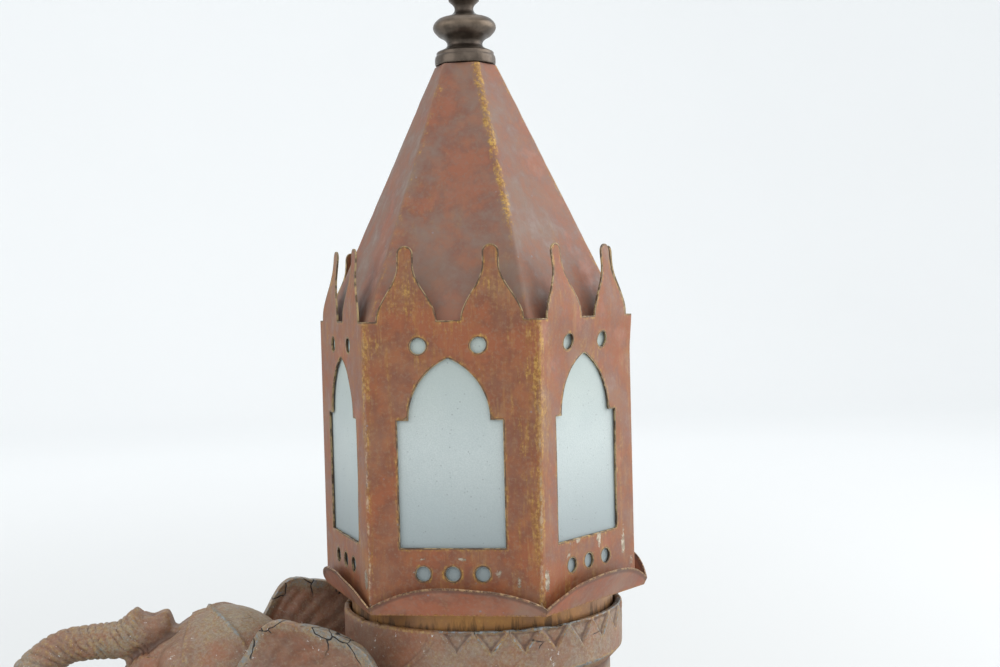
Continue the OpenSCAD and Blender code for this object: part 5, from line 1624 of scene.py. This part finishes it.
def makePanes():
    shared = frostedGlass()
    for i in range(6):
        apo = wallApo - paneDims["behind"]
        wide = 2 * (wallApo - 3.0) * math.tan(sixth / 2) - 0.5
        z0, z1 = cageFoot / mm + paneDims["foot"], cageFoot / mm + paneDims["top"]
        letGo()
        bpy.ops.mesh.primitive_cube_add(size=1, location=(0, -apo * mm, (z0 + z1) / 2 * mm),
                                        scale=(wide * mm, paneDims["thick"] * mm, (z1 - z0) * mm))
        ob = bpy.context.object
        ob.name = f"frostedPane{i + 1}"
        bakePlace(ob)
        modify(ob, "BEVEL", width=paneDims["bevel"] * mm, segments=2, limit_method="ANGLE")
        cutAcross(ob, np.linspace(-wide / 2, wide / 2, 9)[1:-1] * mm, 0)
        cutAcross(ob, np.linspace(z0, z1, 13)[1:-1] * mm, 2)
        xyz = coords(ob)
        ripple = paneDims["ripple"] * roughField(xyz / mm + i * 30, 20, 3.0, 2)
        xyz[:, 1] += ripple * mm
        setCoords(ob, turned(xyz, lanternTurn + sixth * i))
        smoothed(ob, 40)
        finish(ob, "lantern", "frosted_glass", shared, f"glass_pane_{i + 1}")
    print("panes set")


makePanes()


# CAD parts that keep their shape and get their finish
def dressNodes():
    brass = plainMetal("lampBrass", (176, 140, 82), 0.32, grimeTone=(84, 60, 32))
    steel = plainMetal("screwSteel", (150, 150, 148), 0.35, grimeTone=(78, 70, 62))
    zincSheet = plainMetal("innerStrip", (126, 112, 92), 0.45, grimeTone=(70, 52, 40), streak=(1, 1, 0.2))
    bulbMetal = plainMetal("bulbThread", (190, 190, 190), 0.28, darkening=0.2, grimeTone=(110, 104, 96))
    glassMaterial = frostedGlass()
    kinds = {
        "lamp_brass": brass, "plain_steel": steel, "strip_metal": zincSheet, "bulb_metal": bulbMetal,
        "frosted_glass": glassMaterial, "felt": feltCloth(), "bulb_clear": bulbGlass(),
        "bushing_black": plainSolid("blackBushing", (26, 26, 28), 0.45, (44, 44, 46)),
        "liner_card": plainSolid("linerCard", (188, 178, 156), 0.8, (150, 138, 112)),
        "phenolic": plainSolid("brownPhenolic", (66, 40, 26), 0.35, (36, 22, 16)),
        "filament_wire": plainMetal("tungstenWire", (96, 96, 98), 0.4, darkening=0.2),
        "cast_paint": castMaterials["body"],
        "sheet_paint": plainSolid("plainPaint", (140, 84, 60), 0.5, (110, 70, 52)),
        "tusk_metal": plainMetal("tuskMetal", (150, 132, 104), 0.42, metal=0.7, grimeTone=(84, 62, 48)),
        "finial_bronze": brass, "collar_brass": brass, "roof_paint": brass,
    }
    slots = {row["node"]: row["material_slot"] for row in frame["record"]["subparts"]}
    for name, ob in frame["nodes"].items():
        for slot in ob.material_slots:
            slot.material = kinds[slots[name]]
        if not ob.material_slots:
            ob.data.materials.append(kinds[slots[name]])


dressNodes()


# lights as (x, y, z, power, size) in metres and watts, then the world, the floor and its paper
lights = {"key": (1.35, 0.05, 0.62, 18, 1.5), "front": (0.5, -1.6, 1.3, 7, 1.5),
          "top": (0.2, 0.1, 1.9, 9, 1.6), "left": (-1.5, -0.6, 0.9, 8, 1.4)}
studio = {"world": 0.95, "sky": (0.965, 0.985, 1.0, 1), "aim": (0, 0, 0.25), "floor": 14, "wall": 4,
          "near": (0.56, 0.57, 0.57, 1), "far": (0.91, 0.925, 0.93, 1), "farther": (0.925, 0.94, 0.945, 1)}


def makeStage():
    for name, (x, y, z, power, size) in lights.items():
        letGo()
        bpy.ops.object.light_add(type="AREA", location=(x, y, z))
        lamp = bpy.context.object
        lamp.name = name + "Light"
        lamp.data.energy, lamp.data.size = power, size
        lamp.rotation_euler = (Vector(studio["aim"])
                               - Vector((x, y, z))).to_track_quat("-Z", "Y").to_euler()
    world = bpy.data.worlds.new("paleStudio")
    bpy.context.scene.world = world
    world.use_nodes = True
    sky = world.node_tree.nodes["Background"].inputs
    sky[0].default_value, sky[1].default_value = studio["sky"], studio["world"]
    letGo()
    bpy.ops.mesh.primitive_plane_add(size=studio["floor"], location=(0, -3.0, 0))
    floor = bpy.context.object
    floor.name = "paleFloor"
    openSome(floor, "EDGE", lambda edge: all(v.co.y > 2.5 for v in edge.verts))
    bpy.ops.mesh.extrude_edges_move(TRANSFORM_OT_translate={"value": (0, 0, studio["wall"])})
    shut()
    bakePlace(floor)
    modify(floor, "BEVEL", width=1.2, segments=12, limit_method="ANGLE", affect="EDGES")
    smoothed(floor, 60)
    paper, n, shader = newMaterial("palePaper")
    away = n.node("ShaderNodeVectorMath", operation="LENGTH")
    n.feed(away.inputs[0], n.place())
    far = n.mix(n.grain(0.4, 2), studio["far"], studio["farther"])
    n.feed(shader["Base Color"], n.mix(n.ramp(away.outputs["Value"], 0.25, 2.4), studio["near"], far))
    shader["Roughness"].default_value = 0.9
    floor.data.materials.append(paper)
    bpy.context.scene.view_settings.view_transform = "Standard"
    print("stage lit")


makeStage()
